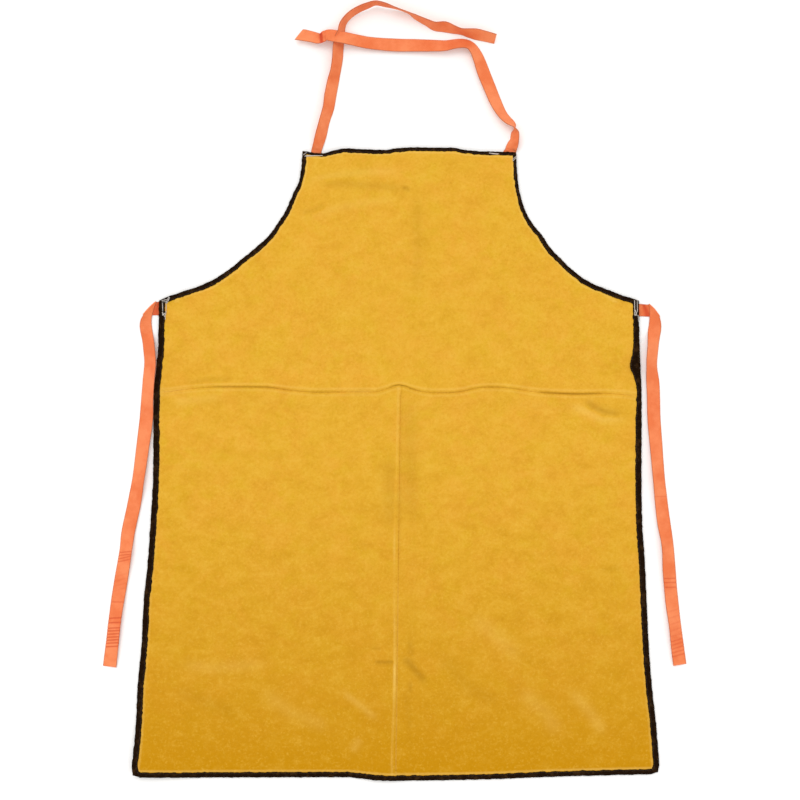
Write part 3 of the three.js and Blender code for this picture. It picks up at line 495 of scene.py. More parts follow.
def skirtSheet(side, name):
    reach = seamHeight - wrap
    drops = spaced([seamReach, seamReach + seamStation, seamReach + innerStation, reach - innerStation,
                    reach - bindingStation, reach], [1.5, 2.8, 3.8, 3, 2])
    width = cut["waistWidth"] / 2
    shares = spaced([0, seamStation, innerStation, width - innerStation, width - bindingStation, width],
                    [1.5, 2.8, 3.8, 3, 2]) / width
    rows = []
    for drop in drops:
        height = seamHeight - drop
        start = centreSeamX(height) + side * seamReach
        end = float(insetX(side, height, 0))
        x = mix(start, end, shares)
        y = skirtHeight(acrossAt(x, height), drop)
        fromCentre = np.abs(x - start)
        fromSide = np.abs(end - x)
        fromHem = np.full_like(x, reach - drop)
        fromTop = np.full_like(x, drop - seamReach)
        rows.append((x, y, fromCentre, fromSide, fromHem, fromTop))
    x, y, fromCentre, fromSide, fromHem, fromTop = (np.array(part) for part in zip(*rows))
    lip = np.where((side < 0) & (fromCentre < fromTop), suede["seamLip"] * 1.2, 0)
    z = suedeLevel(x, y, np.minimum(fromSide, fromHem), np.minimum(fromCentre, fromTop), lip)
    main = np.stack([x, y, z], axis=2)
    # painted light on the suede, kept as tone: painted shade in the creases and the seam groove, painted
    # highlight on raised lines, the seam lip and the strip inside the binding
    tone = markField(x, y, "tone") + rimHighlight(fromSide, legs["side_left"]) + rimHighlight(fromHem, legs["hem"])
    tone += 0.16 * near(fromTop, 3, 1.5) + 0.6 * seamTone(x) * near(fromTop, -0.4, 1)
    # painted highlight along the centre seam's ridge on the left panel, painted shade beside it on the right
    # panel
    if side < 0:
        tone += ridgeTone(y) * near(fromCentre, 2 + 2.5 * near(y, 330, 110) + 2.5 * near(y, 30, 60), 1.5)
    else:
        tone -= 0.12 * near(fromCentre, 0.2, 2) * soften((y - 240) / 120)
    turnedTop = (fromCentre[0] >= seamStation - 0.1) & (fromSide[0] >= turnFrom)
    turnedSide = (fromTop[:, 0] >= seamStation - 0.1) & (fromHem[:, 0] >= turnFrom)
    topFolds = foldPoints(main[0], (0, 1, 0))
    sideFolds = foldPoints(main[:, 0], (-side, 0, 0))
    closeEnds(main[0], turnedTop)
    main[0][~turnedTop] += np.array([0, foldNose, 0])
    closeEnds(main[:, 0], turnedSide)
    main[:, 0][~turnedSide] += np.array([-side * foldNose, 0, 0])
    cornerPull(main, fromHem, fromSide, side)
    folds = len(topFolds)
    # painted light on the turned edges: painted highlight low on the centre seam's turned edge and painted
    # shade higher up, the groove's painted shade along the top
    beside = mix(0.15, -0.1, soften((y[:, :1] - 240) / 90)) * np.ones((1, folds))
    tone = np.concatenate([np.tile(0.7 * seamTone(x[0]), (folds, 1)), tone])
    tone = np.concatenate([np.concatenate([np.full((folds, folds), -0.3), beside]), tone], axis=1)
    above = np.concatenate([np.zeros((folds, folds, 3)), np.array(topFolds)[::-1]], axis=1)
    aboveValid = np.concatenate([np.zeros((folds, folds), bool), np.tile(turnedTop, (folds, 1))], axis=1)
    beside = np.array(sideFolds)[::-1].transpose(1, 0, 2)
    besideValid = np.tile(turnedSide[:, None], (1, folds))
    body = np.concatenate([beside, main], axis=1)
    bodyValid = np.concatenate([besideValid, np.ones(main.shape[:2], bool)], axis=1)
    points = np.concatenate([above, body])
    valid = np.concatenate([aboveValid, bodyValid])
    if side < 0:  # columns run left to right on both panels
        points, valid, tone = points[:, ::-1], valid[:, ::-1], tone[:, ::-1]
    return main, sheetPiece(name, points, valid, suede["thickness"], tone)


bibMain, bibDrops, bibSuede = bibSheet()
leftMain, leftSuede = skirtSheet(-1, "skirt_suede_left")
rightMain, rightSuede = skirtSheet(1, "skirt_suede_right")
print("suede panels:", sum(len(piece.data.polygons) for piece in (bibSuede, leftSuede, rightSuede)), "faces")

# binding tape folded over the edge, in lengths that run against the clock from the hem's left corner
waistRow = int(np.argmin(np.abs(bibDrops - (cut["armholeDepth"] + wrap))))
sideRightUp = np.concatenate([rightMain[:, -1][1:][::-1], bibMain[waistRow:, -1][:-1][::-1]])
sideLeftDown = np.concatenate([bibMain[waistRow:, 0][:-1], leftMain[:, -1][1:]])
armholeRightUp = bibMain[:waistRow + 1, -1][::-1]
armholeLeftDown = bibMain[:waistRow + 1, 0]
hemRun = np.concatenate([leftMain[-1][::-1], rightMain[-1][1:]])
topRun = bibMain[0][::-1]
runs = [("hem", hemRun), ("side_right", sideRightUp), ("armhole_right", armholeRightUp),
        ("top", topRun), ("armhole_left", armholeLeftDown), ("side_left", sideLeftDown)]
# the binding's bunched lump on the right side: height above the hem, reach inwards and upwards
bunch = {
    "height": [520, 538, 552, 566, 578, 586, 592, 599, 606, 616, 630],
    "out": [0, -1.5, -1.8, -0.6, 2.2, 5.4, 6.6, 5, 2.6, 0.8, 0],
    "lift": [0, 0, 0, 0.2, 0.9, 1.5, 1.6, 1.2, 0.6, 0.1, 0],
}
# the top length is narrower towards its ends, a share along it from the right
topLeg = {"along": [0, 0.3, 0.8, 0.92, 1], "leg": [4, 4.2, 5, 3.4, 2.6]}


def evenly(points, step):
    length = np.concatenate([[0], np.cumsum(np.linalg.norm(np.diff(points, axis=0), axis=1))])
    count = max(int(round(length[-1] / step)), 2)
    along = np.linspace(0, length[-1], count + 1)
    return np.stack([np.interp(along, length, points[:, k]) for k in range(3)], axis=1), along


def outward(points, before, after):
    padded = np.concatenate([[before], points, [after]])[:, :2]
    ways = np.diff(padded, axis=0)
    ways = ways / np.maximum(np.linalg.norm(ways, axis=1, keepdims=True), 1e-9)
    normals = np.stack([ways[:, 1], -ways[:, 0]], axis=1)
    total = normals[:-1] + normals[1:]
    return total / (1 + np.sum(normals[:-1] * normals[1:], axis=1, keepdims=True))


def tapeSection(leg, swell):
    half = suede["thickness"] / 2
    thick = tape["thickness"]
    top = half + tape["ease"] * 0.5 + thick + swell
    dip = leg - tape["stitchInset"]
    outer = [(-leg, top - 0.38), (-leg + 0.3, top - 0.1), (-dip - 0.7, top - 0.03), (-dip, top - 0.26),
             (-dip + 0.7, top - 0.03), (-dip * 0.5, top + 0.08), (-0.6, top + 0.1), (0.2, top + 0.02),
             (0.62, top - 0.28), (0.9, top - 0.75), (wrap, 0.5)]
    inner = [(-leg, top - thick), (-leg + 0.3, top - thick), (-dip - 0.7, top - thick), (-dip, top - thick),
             (-dip + 0.7, top - thick), (-dip * 0.5, top - thick), (-0.6, top - thick), (-0.1, top - thick),
             (0.12, top - thick - 0.1), (0.25, 0.7), (0.3, 0.35)]
    return [np.array(shape + [(away, -up) for away, up in reversed(shape)]) for shape in (outer, inner)]


def tapePiece(name, run, before, after):
    points, along = evenly(run, tape["step"])
    points[0] += (points[1] - points[0]) / np.linalg.norm(points[1] - points[0]) * suede["gap"] / 2
    points[-1] += (points[-2] - points[-1]) / np.linalg.norm(points[-2] - points[-1]) * suede["gap"] / 2
    out = outward(points, before, after)
    ends = np.minimum(along, along[-1] - along)
    seed = len(name) * 3.7
    vertices, uvs, stitchTop = [], [], []
    for k, (here, direction) in enumerate(zip(points, out)):
        calm = min(ends[k] / 8, 1)
        if name == "top":
            leg = float(smoothTable(topLeg, "along", "leg")(along[k] / along[-1]))
        else:
            leg = float(legAt(name, here[1]))
        leg += calm * (1.1 * noise.fractal(Vector((along[k] / 10, seed, 0)), 0.7, 2, 4))
        push = calm * 0.6 * noise.fractal(Vector((along[k] / 9, seed, 9)), 0.8, 2, 3)
        leg += calm * 0.55 * noise.noise(Vector((along[k] / 2.9, seed, 3)))
        push += calm * 0.35 * noise.noise(Vector((along[k] / 3.1, seed, 7)))
        swell = 0.15 * noise.noise(Vector((along[k] / 6, seed, 5))) * calm
        crumple = 0
        if name == "side_right":
            leg += float(smoothTable(bunch, "height", "out")(here[1]))
            crumple = float(smoothTable(bunch, "height", "lift")(here[1]))
            swell += crumple * (0.8 + 0.35 * math.sin(here[1] * 0.8))
        outer, inner = tapeSection(leg, swell)
        outer[:, 0] += push * soften((outer[:, 0] + 1.5) / 1.5)
        ring = np.concatenate([outer, inner[::-1]])
        x = here[0] + direction[0] * ring[:, 0]
        y = here[1] + direction[1] * ring[:, 0]
        level = bindingLift + humpLift(x, y) + suede["thickness"] / 2
        floorStop = -(bindingLift + suede["thickness"] / 2)
        squeezed = np.where(ring[:, 1] < 0, np.maximum(ring[:, 1], floorStop), ring[:, 1])
        crinkle = 0.3 * crumple * np.sin(here[1] * 1.3 + ring[:, 0] * 1.1)
        squeezed = squeezed + np.where(ring[:, 1] > 0, crinkle, 0)
        vertices.append(np.stack([x, y, level + squeezed], axis=1))
        span = np.concatenate([[0], np.cumsum(np.linalg.norm(np.diff(outer, axis=0), axis=1))])
        around = np.concatenate([span, span[::-1]])
        uvs.append(np.stack([around * mm, np.full(len(ring), along[k] * mm)], axis=1))
        if ends[k] > 2.5:
            stitchTop.append(vertices[-1][3] + np.array([0, 0, 0.1]))
    size = len(vertices[0])
    half = size // 2
    faces = []
    for k in range(len(vertices) - 1):
        for p in range(size):
            q = (p + 1) % size
            faces.append([k * size + p, k * size + q, (k + 1) * size + q, (k + 1) * size + p])
    last = (len(vertices) - 1) * size
    for p in range(half - 1):
        q, r = size - 1 - p, size - 2 - p
        faces.append([p, q, r, p + 1])
        faces.append([last + p, last + p + 1, last + r, last + q])
    piece = addPiece("tape_" + name, np.concatenate(vertices), faces, np.concatenate(uvs), 50)
    return piece, np.array(stitchTop)


tapes, stitchLines = {}, []
for k, (runName, run) in enumerate(runs):
    before = runs[k - 1][1][-2]
    after = runs[(k + 1) % len(runs)][1][1]
    tapes[runName], line = tapePiece(runName, run, before, after)
    stitchLines.append(line)
print("binding tape:", sum(len(piece.data.polygons) for piece in tapes.values()), "faces")

# stops along the neck ties, read one by one: pixel and seen width in the photo, rough roll in degrees and
# lift in widths of the webbing
leftNeckStops = {
    "px": [316.2, 317.3, 318.6, 321.3, 324.4, 328.2, 330.2, 332.7, 335.4, 337.4, 338, 339.3, 341.2, 342,
           344.6, 351, 360, 368, 375.5, 385, 393.3, 401.7, 409, 414.5, 426.7, 435, 445, 453, 461, 468.3,
           477, 486, 495.6],
    "py": [151.3, 147, 142.5, 132.5, 120, 107.5, 95, 82.5, 70, 57.5, 47.5, 38, 31, 26, 20, 13.5, 8.2,
           4.9, 2.6, 4.3, 6.9, 9.6, 12.6, 16, 22, 25.8, 26.4, 28.8, 31, 32.5, 33.9, 36, 38.5],
    "wide": [13.9, 13.9, 13.2, 11.6, 11, 11.6, 12.2, 12, 10.6, 10.8, 11, 10, 7.4, 7, 6.6, 6.6, 6.6, 6.2,
             5, 4.2, 2.4, 1.2, 1.6, 4.5, 6.8, 9, 11, 8.8, 6.4, 9, 11.5, 10.8, 10],
    "roll": [0, -7, -18, -33, -32, -28, -24, -24, -36, -36, -38, -44, -55, -60, -66, -68, -70, -73, -80,
             -84, -92, -97, -95, -84, -73, -62, -51, -62, -74, -62, -48, -52, -56],
    "lift": [0, 0, 0, 0, 0, 0, 0, 0, 0, 0, 0, 0, 0, 0, 0, 0.02, 0.08, 0.14, 0.18, 0.18, 0.14, 0.06,
             0.01, 0, 0, 0, 0, 0, 0, 0, 0, 0, 0],
}
rightNeckStops = {
    "px": [510.3, 511.8, 513, 514.6, 515, 513.2, 507.5, 503.6, 499.2, 495.6, 489.6, 483.9, 478.8, 475,
           470.5, 465, 459, 453, 446, 433, 415, 398, 380, 366, 353, 345, 337, 329.4, 325, 321.8, 318,
           311, 303, 298.6],
    "py": [151.3, 147.2, 144, 139, 133, 124.5, 119.5, 115.5, 108.5, 101.4, 87.1, 72.9, 58.6, 50.5, 45.3,
           43.2, 43, 43.9, 45.1, 45.3, 45, 44.7, 43.6, 41.9, 39.2, 37.4, 35.9, 34.8, 35.2, 37.3, 37.9,
           36.2, 34.6, 34.2],
    "wide": [13.9, 13.6, 12.4, 9.4, 8.4, 5, 7.6, 8.8, 10.4, 11.6, 12.3, 12.6, 11.2, 9.4, 8.4, 8.6, 9,
             9.4, 10.6, 11.6, 12.4, 12.9, 12.5, 12, 11.8, 11.8, 12, 11.8, 10, 9.6, 10.6, 11.2, 11.4,
             11.2],
    "roll": [0, 16, 32, 47, 60, 100, 130, 142, 150, 152, 150, 147, 142, 136, 130, 130, 132, 138, 148,
             152, 158, 162, 158, 157, 156, 154, 152, 150, 146, 142, 142, 143, 144, 146],
    "lift": [0, 0, 0, 0, 0, 0, 0, 0, 0, 0, 0, 0, 0, 0, 0, 0, 0, 0, 0, 0, 0, 0, 0, 0.04, 0.16, 0.36, 0.5,
             0.42, 0.3, 0.12, 0.02, 0, 0, 0],
}
# corners of the waist ties: places out from the waist edge and down from the waist, inner and outer side
leftCorner = {
    "top": 1.2, "low": 21.3, "bulge": 0.9,
    "before": ((-1.4, 1.3), (0.0, 21.4)), "fold": ((3.6, 1.8), (22.8, 21.3)),
    "after": [((6.5, 9.5), (26.3, 27.4), 1.3),
              ((9.9, 22.1), (27.8, 36.0), 0.9),
              ((10.6, 32.4), (27.1, 43.9), 0.5),
              ((8.8, 46.1), (25.1, 53.4), 0.2)],
}
rightCorner = {
    "top": 4.6, "low": 22.7, "bulge": 1.2,
    "before": ((2.0, 4.9), (3.4, 22.8)), "fold": ((13.9, 5.5), (29.8, 23.8)),
    "after": [((15.3, 13.1), (31.5, 30.3), 1.4),
              ((15.3, 22.8), (32.2, 36.7), 1.1),
              ((14.5, 33.9), (31.8, 44.6), 0.7),
              ((12.9, 43.9), (30.4, 52.5), 0.3)],
}
leftWaistRoute = {
    "down": [0.078, 0.119, 0.17, 0.217, 0.269, 0.323, 0.4, 0.487, 0.561, 0.633, 0.683, 0.779, 0.866, 0.943,
             1],
    "beside": [0.97, 0.67, 0.46, 0.43, 0.44, 0.51, 0.74, 1.02, 1.27, 1.55, 1.62, 1.79, 1.97, 2.1, 2.14],
    "roll": [12, 26, 28, 26, 24, 8, 14, 22, 6, 6, 20, 6, 18, 14, 6],
}
rightWaistRoute = {
    "down": [0.08, 0.119, 0.176, 0.236, 0.323, 0.4, 0.487, 0.596, 0.67, 0.74, 0.815, 0.89, 0.943, 0.995],
    "beside": [1.16, 0.96, 0.79, 0.83, 0.88, 1.04, 1.23, 1.5, 1.68, 1.7, 1.78, 1.94, 2.04, 2.13],
    "roll": [20, 30, 33, 12, 12, 18, 24, 12, 24, 14, 14, 22, 14, 10],
}


def seenWidth(way, roll, away, gap):
    # how wide the rolled webbing looks from the camera, in millimetres on the floor
    side = np.array([way[1], -way[0]])
    edge = webbing["width"] * (math.cos(roll) * side + math.sin(roll) * away / gap)
    return abs(edge @ side) * above / gap


def neckRoute(seen):
    lens = np.array([view["middleX"], view["middleY"]]) - origin[:2]
    places = np.column_stack([np.array(seen["px"]) - photo["middle"], photo["hem"] - np.array(seen["py"])])
    places *= photo["scale"]
    last = len(places) - 1
    route = {"across": [], "up": [], "roll": [], "lift": seen["lift"]}
    for k, (wide, rough, lift) in enumerate(zip(seen["wide"], seen["roll"], seen["lift"])):
        way = places[min(k + 1, last)] - places[max(k - 1, 0)]
        way /= np.linalg.norm(way)
        away = places[k] - lens
        best = None
        # the roll near the rough one that gives the width seen in the photo
        for roll in np.arange(rough - 45, rough + 45.1, 0.5):
            turn = math.radians(roll)
            rise = (webbing["width"] * abs(math.sin(turn)) + webbing["thickness"] * abs(math.cos(turn))) / 2
            gap = above - rise - lift * webbing["width"]
            miss = abs(seenWidth(way, turn, away, gap) / photo["scale"] - wide) + 0.004 * abs(roll - rough)
            if best is None or miss < best[0]:
                best = miss, roll, lens + away * gap / above
        route["across"].append(round((best[2][0] - cut["bibLean"]) / (cut["bibWidth"] / 2), 3))
        route["up"].append(round((best[2][1] - cut["length"]) / webbing["neckReach"], 3))
        route["roll"].append(round(best[1]))
    return route


def smoothPath(corners):
    corners = np.array(corners, float)
    first = 2 * corners[0] - corners[1]
    last = 2 * corners[-1] - corners[-2]
    points = np.concatenate([[first], corners, [last]])
    path, shares = [], []
    for k in range(1, len(points) - 2):
        a, b, c, d = points[k - 1:k + 3]
        t1 = max(np.linalg.norm(b - a) ** 0.5, 1e-4)
        t2 = max(np.linalg.norm(c - b) ** 0.5, 1e-4)
        t3 = max(np.linalg.norm(d - c) ** 0.5, 1e-4)
        slopeB = ((b - a) / t1 - (c - a) / (t1 + t2) + (c - b) / t2) * t2
        slopeC = ((c - b) / t2 - (d - b) / (t2 + t3) + (d - c) / t3) * t2
        count = max(int(math.ceil(np.linalg.norm(c - b) / webbing["step"])), 2)
        for step in range(count):
            s = step / count
            path.append(b * (2 * s ** 3 - 3 * s * s + 1) + slopeB * (s ** 3 - 2 * s * s + s)
                        + c * (3 * s * s - 2 * s ** 3) + slopeC * (s ** 3 - s * s))
            shares.append(k - 1 + s)
    path.append(corners[-1])
    shares.append(len(corners) - 1)
    return np.array(path), np.array(shares)


def smoothCurve(corners, count):
    padded = np.concatenate([[2 * corners[0] - corners[1]], corners, [2 * corners[-1] - corners[-2]]])
    points = [corners[0]]
    for k in range(1, len(padded) - 2):
        a, b, c, d = padded[k - 1:k + 3]
        for step in range(1, count + 1):
            s = step / count
            points.append(0.5 * (2 * b + (c - a) * s + (2 * a - 5 * b + 4 * c - d) * s ** 2
                                 + (3 * b - a - 3 * c + d) * s ** 3))
    return np.array(points)


def routeRows(stops):
    path, shares = smoothPath([(stop[0], stop[1], stop[3]) for stop in stops])
    table = {"k": list(range(len(stops))), "roll": [stop[2] for stop in stops]}
    rolls = np.radians(smoothTable(table, "k", "roll")(shares))
    ways = np.gradient(path[:, :2], axis=0)
    ways /= np.linalg.norm(ways, axis=1, keepdims=True)
    side = np.stack([ways[:, 1], -ways[:, 0]], axis=1)
    across = np.column_stack([side * np.cos(rolls)[:, None], np.sin(rolls)])
    rise = (webbing["width"] * np.abs(np.sin(rolls)) + webbing["thickness"] * np.abs(np.cos(rolls))) / 2
    centre = np.column_stack([path[:, :2], rise + np.maximum(path[:, 2], 0)])
    return centre - across * webbing["width"] / 2, centre + across * webbing["width"] / 2


def webbingPiece(name, left, right, folds, seed, bow=None, shades=()):
    bow = np.zeros_like(left) if bow is None else bow
    middle = (left + right) / 2
    along = np.concatenate([[0], np.cumsum(np.linalg.norm(np.diff(middle, axis=0), axis=1))])
    keep = [0]
    for k in range(1, len(along)):
        if along[k] - along[keep[-1]] >= 0.25 or k == len(along) - 1:
            keep.append(k)
    left, right, bow, along, middle = left[keep], right[keep], bow[keep], along[keep], middle[keep]
    steps = np.diff(middle, axis=0)
    steps = steps / np.maximum(np.linalg.norm(steps, axis=1, keepdims=True), 1e-9)
    way = np.concatenate([steps[:1], steps[:-1] + steps[1:], steps[-1:]])
    normal = np.cross(right - left, way)
    normal /= np.maximum(np.linalg.norm(normal, axis=1, keepdims=True), 1e-9)
    half = webbing["thickness"] / 2
    us = np.concatenate([[0.004, 0.012, 0.03], np.linspace(0.07, 0.93, 11), [0.97, 0.988, 0.996]])
    rim = np.clip(np.minimum(us, 1 - us) / 0.03, 0, 1)
    profile = half * np.sqrt(1 - (1 - rim) ** 2 * 0.8)
    arch = 4 * us * (1 - us)
    vertices, uvs, tones = [], [], []
    for k in range(len(along)):
        narrow = 0.012 * (1 + noise.noise(Vector((along[k] / 23, seed, 1))))
        edgeWave = 0.004 * noise.noise(Vector((along[k] / 3.1, seed, 7)))
        span = (right[k] - left[k]) * (1 - narrow + edgeWave)
        points = middle[k] + np.outer(us - 0.5, span) + np.outer(arch, bow[k])
        endRound = min(1, 0.55 + min(along[k], along[-1] - along[k]) / 2.5)
        ripple = np.zeros(len(us))
        tone = np.zeros(len(us))
        # crease lines: a dent with a low ridge beside it, and painted shade along the crease
        for fold in folds:
            axis = fold["axis"]
            place = points[:, axis] - fold["at"] - fold["slant"] * (us - 0.5) * webbing["width"]
            line = near(place, 0, fold["width"]) if along[k] > fold["after"] else 0
            ripple -= fold["depth"] * line
            ripple += 0.6 * fold["depth"] * (near(place, 2.1, 1.2) if along[k] > fold["after"] else 0)
            tone -= fold["tone"] * line
        # painted shadow at given places along the tie
        for shade in shades:
            tone += shade["tone"] * near(along[k], shade["at"], shade["reach"])
        cup = 0.35 * (2 * us - 1) ** 2 * noise.noise(Vector((along[k] / 40, seed, 2))) * abs(normal[k][2])
        ripple = ripple + np.maximum(cup, 0) * min(1, along[k] / 30)
        up = np.sign(normal[k][2]) or 1
        face, back = ripple, np.maximum(ripple, 0)
        if up < 0:
            face, back = back, face
        upper = points + np.outer(profile * endRound + up * face, normal[k])
        lower = points + np.outer(-profile * endRound + up * back, normal[k])
        vertices.append(np.concatenate([upper, lower[::-1]]))
        place = us * webbing["width"] * mm
        around = np.concatenate([place, place[::-1]])
        uvs.append(np.stack([around, np.full(2 * len(us), along[k] * mm)], axis=1))
        tones.append(np.concatenate([tone, tone[::-1]]))
    size, rows = 2 * len(us), len(vertices)
    faces = [[k * size + p, (k + 1) * size + p, (k + 1) * size + (p + 1) % size, k * size + (p + 1) % size]
             for k in range(rows - 1) for p in range(size)]
    last = (rows - 1) * size
    for p in range(len(us) - 1):
        faces.append([p, p + 1, size - 2 - p, size - 1 - p])
        faces.append([last + p, last + size - 1 - p, last + size - 2 - p, last + p + 1])
    return addPiece(name, np.concatenate(vertices), faces, np.concatenate(uvs), 60, np.concatenate(tones))


def slantedEnd(left, right, back):
    # the free end is cut on a slant: its left edge stops this far before the right one
    middle = (left + right) / 2
    toEnd = np.concatenate([[0], np.cumsum(np.linalg.norm(np.diff(middle[::-1], axis=0), axis=1))])[::-1]
    reach = abs(back) + 4
    share = soften(1 - toEnd / reach)[:, None] * abs(back) / 2
    way = middle[-1] - middle[-4]
    way /= np.linalg.norm(way)
    turn = 1 if back > 0 else -1
    return left - way * share * turn, right + way * share * turn


def neckTie(name, side, seen, folds, seed, gathered, back=0):
    middle = float(middleX(cut["length"]))
    under = tucks[0 if side < 0 else 1][0]
    stops = [(under, cut["length"] - webbing["tuck"] / part, 0, 0) for part in (1, 3)]
    route = neckRoute(seen)
    for across, up, roll, lift in zip(route["across"], route["up"], route["roll"], route["lift"]):
        x, y = middle + across * cut["bibWidth"] / 2, cut["length"] + up * webbing["neckReach"]
        stops.append((x, y, roll, lift * webbing["width"]))
    left, right = routeRows(stops)
    # the sewn end is drawn together, narrower than the tape
    centre = (left + right) / 2
    share = mix(gathered, 1, soften((centre[:, 1:2] - cut["length"]) / webbing["gather"]))
    left, right = mix(centre, left, share), mix(centre, right, share)
    if back:
        left, right = slantedEnd(left, right, back)
    return webbingPiece(name, left, right, folds, seed)


def waistTie(name, side, corner, route, folds, seed, shades):
    edge = float(outlineX(side, waistHeight - webbing["width"] / 2))
    flat = webbing["thickness"] / 2
    layer = webbing["thickness"] + suede["gap"]
    top, low = waistHeight - corner["top"], waistHeight - corner["low"]

    def place(point, z):
        return np.array([edge + side * point[0], waistHeight - point[1], z])

    start, fold = [place(point, flat) for point in corner["before"]], corner["fold"]
    tucked = edge - side * webbing["tuck"]
    under = [np.array([tucked, top, flat]), np.array([tucked, low, flat])]
    tuckRows = 26
    rows = [tuple(mix(a, b, share) for a, b in zip(under, start)) for share in np.linspace(0, 1, tuckRows)]
    slant = np.array([side, 1, 0]) / math.sqrt(2)
    ends = [place(point, flat) for point in fold]
    for share in np.linspace(0, 1, 14)[1:]:
        rows.append(tuple(mix(a, b - slant * 0.6, share) for a, b in zip(rows[tuckRows - 1], ends)))
    turnAt = len(rows)
    for angle in np.radians(np.arange(0, 181, 15)):
        out = slant * layer / 2 * math.sin(angle) + np.array([0, 0, layer / 2 * (1 - math.cos(angle))])
        rows.append(tuple(point + out for point in ends))
    stops = [[place(pair[0], pair[2] + flat), place(pair[1], pair[2] + flat)] for pair in corner["after"]]
    for down, beside, roll in zip(*(route[key] for key in ("down", "beside", "roll"))):
        y = waistHeight - down * webbing["waistDrop"]
        if y < stops[len(corner["after"]) - 1][0][1] - 6:
            stops.append((float(outlineX(side, y)) + side * beside * webbing["width"], y, side * roll, 0))
    given = [stop for stop in stops if len(stop) == 2]
    left, right = routeRows([stop for stop in stops if len(stop) == 4])
    if side > 0:
        left, right = right, left
    paths = []
    for k, first in ((0, left[0]), (1, right[0])):
        through = [rows[-1][k]] + [pair[k] for pair in given] + [first]
        paths.append(smoothCurve(np.array(through), 16))
    rows += list(zip(paths[0][1:], paths[1][1:]))
    rows += list(zip(left[1:], right[1:]))
    # the slanted fold is a little rounded, not a straight line
    bow = np.zeros((len(rows), 3))
    bowEnd = turnAt + 30
    for k in range(tuckRows, bowEnd):
        bow[k] = slant * corner["bulge"] * soften((k - tuckRows) / 12) * soften((bowEnd - k) / 22)
    ends = [np.array([row[k] for row in rows]) for k in (0, 1)]
    for end in ends:
        end[:, 2] = np.maximum(end[:, 2], flat)
    return webbingPiece(name, ends[0], ends[1], folds, seed, bow, shades)


def foldRow(axis, places, slant, width, depth, tone, after=60):
    shape = {"axis": axis, "slant": slant, "width": width, "depth": depth, "tone": tone, "after": after}
    return [{"at": place, **shape} for place in places]


# creases on the ties, each with painted shade along its line
neckFold = foldRow(1, [1004], 0.3, 3, 0.2, 0.1)
neckFolds = foldRow(0, [-111.8], 0.1, 2.6, 0.6, 1.3, 200) + foldRow(0, [-106], 0.1, 1.2, 0.3, 0.3, 200)
neckLeft = neckTie("neck_webbing_left", -1, leftNeckStops, neckFold, 11, 0.75)
neckRight = neckTie("neck_webbing_right", 1, rightNeckStops, neckFolds, 23, 0.84, 10)
leftFolds = foldRow(1, [323.9, 319.9], -0.12, 0.9, 0.35, 0.6)
leftFolds += foldRow(1, [316, 311.7], -0.25, 0.9, 0.35, 0.6)
leftFolds += foldRow(1, [291, 284, 277, 270], -0.3, 1.4, 0.15, 0.16)
leftFolds += foldRow(1, [252.2], 0, 0.9, 0.25, 0.5)
leftFolds += foldRow(1, [229.3, 222.8, 215, 211, 206.4, 202.1, 197.8, 193.5, 188.5], -0.08, 1, 0.45, 0.75)
rightFolds = foldRow(1, [403.5], 0, 0.7, 0.15, 0.4)
rightFolds += foldRow(1, [285.9, 280.2, 273.3], 0, 0.9, 0.35, 0.55)
rightFolds += foldRow(1, [240, 231, 222, 213, 205], 0.25, 1.2, 0.15, 0.2)
rightFolds += foldRow(1, [197.8, 192.5, 187, 181.5, 176], 0.25, 1, 0.3, 0.42)
# painted shadow on the tucked stub where the folded tie lies over it
leftShade = [{"at": 27, "reach": 5, "tone": -0.75}]
rightShade = [{"at": 34, "reach": 4, "tone": -0.9}]
waistLeft = waistTie("waist_webbing_left", -1, leftCorner, leftWaistRoute, leftFolds, 31, leftShade)
waistRight = waistTie("waist_webbing_right", 1, rightCorner, rightWaistRoute, rightFolds, 47, rightShade)
ties = [neckLeft, neckRight, waistLeft, waistRight]
print("ties:", sum(len(piece.data.polygons) for piece in ties), "faces")


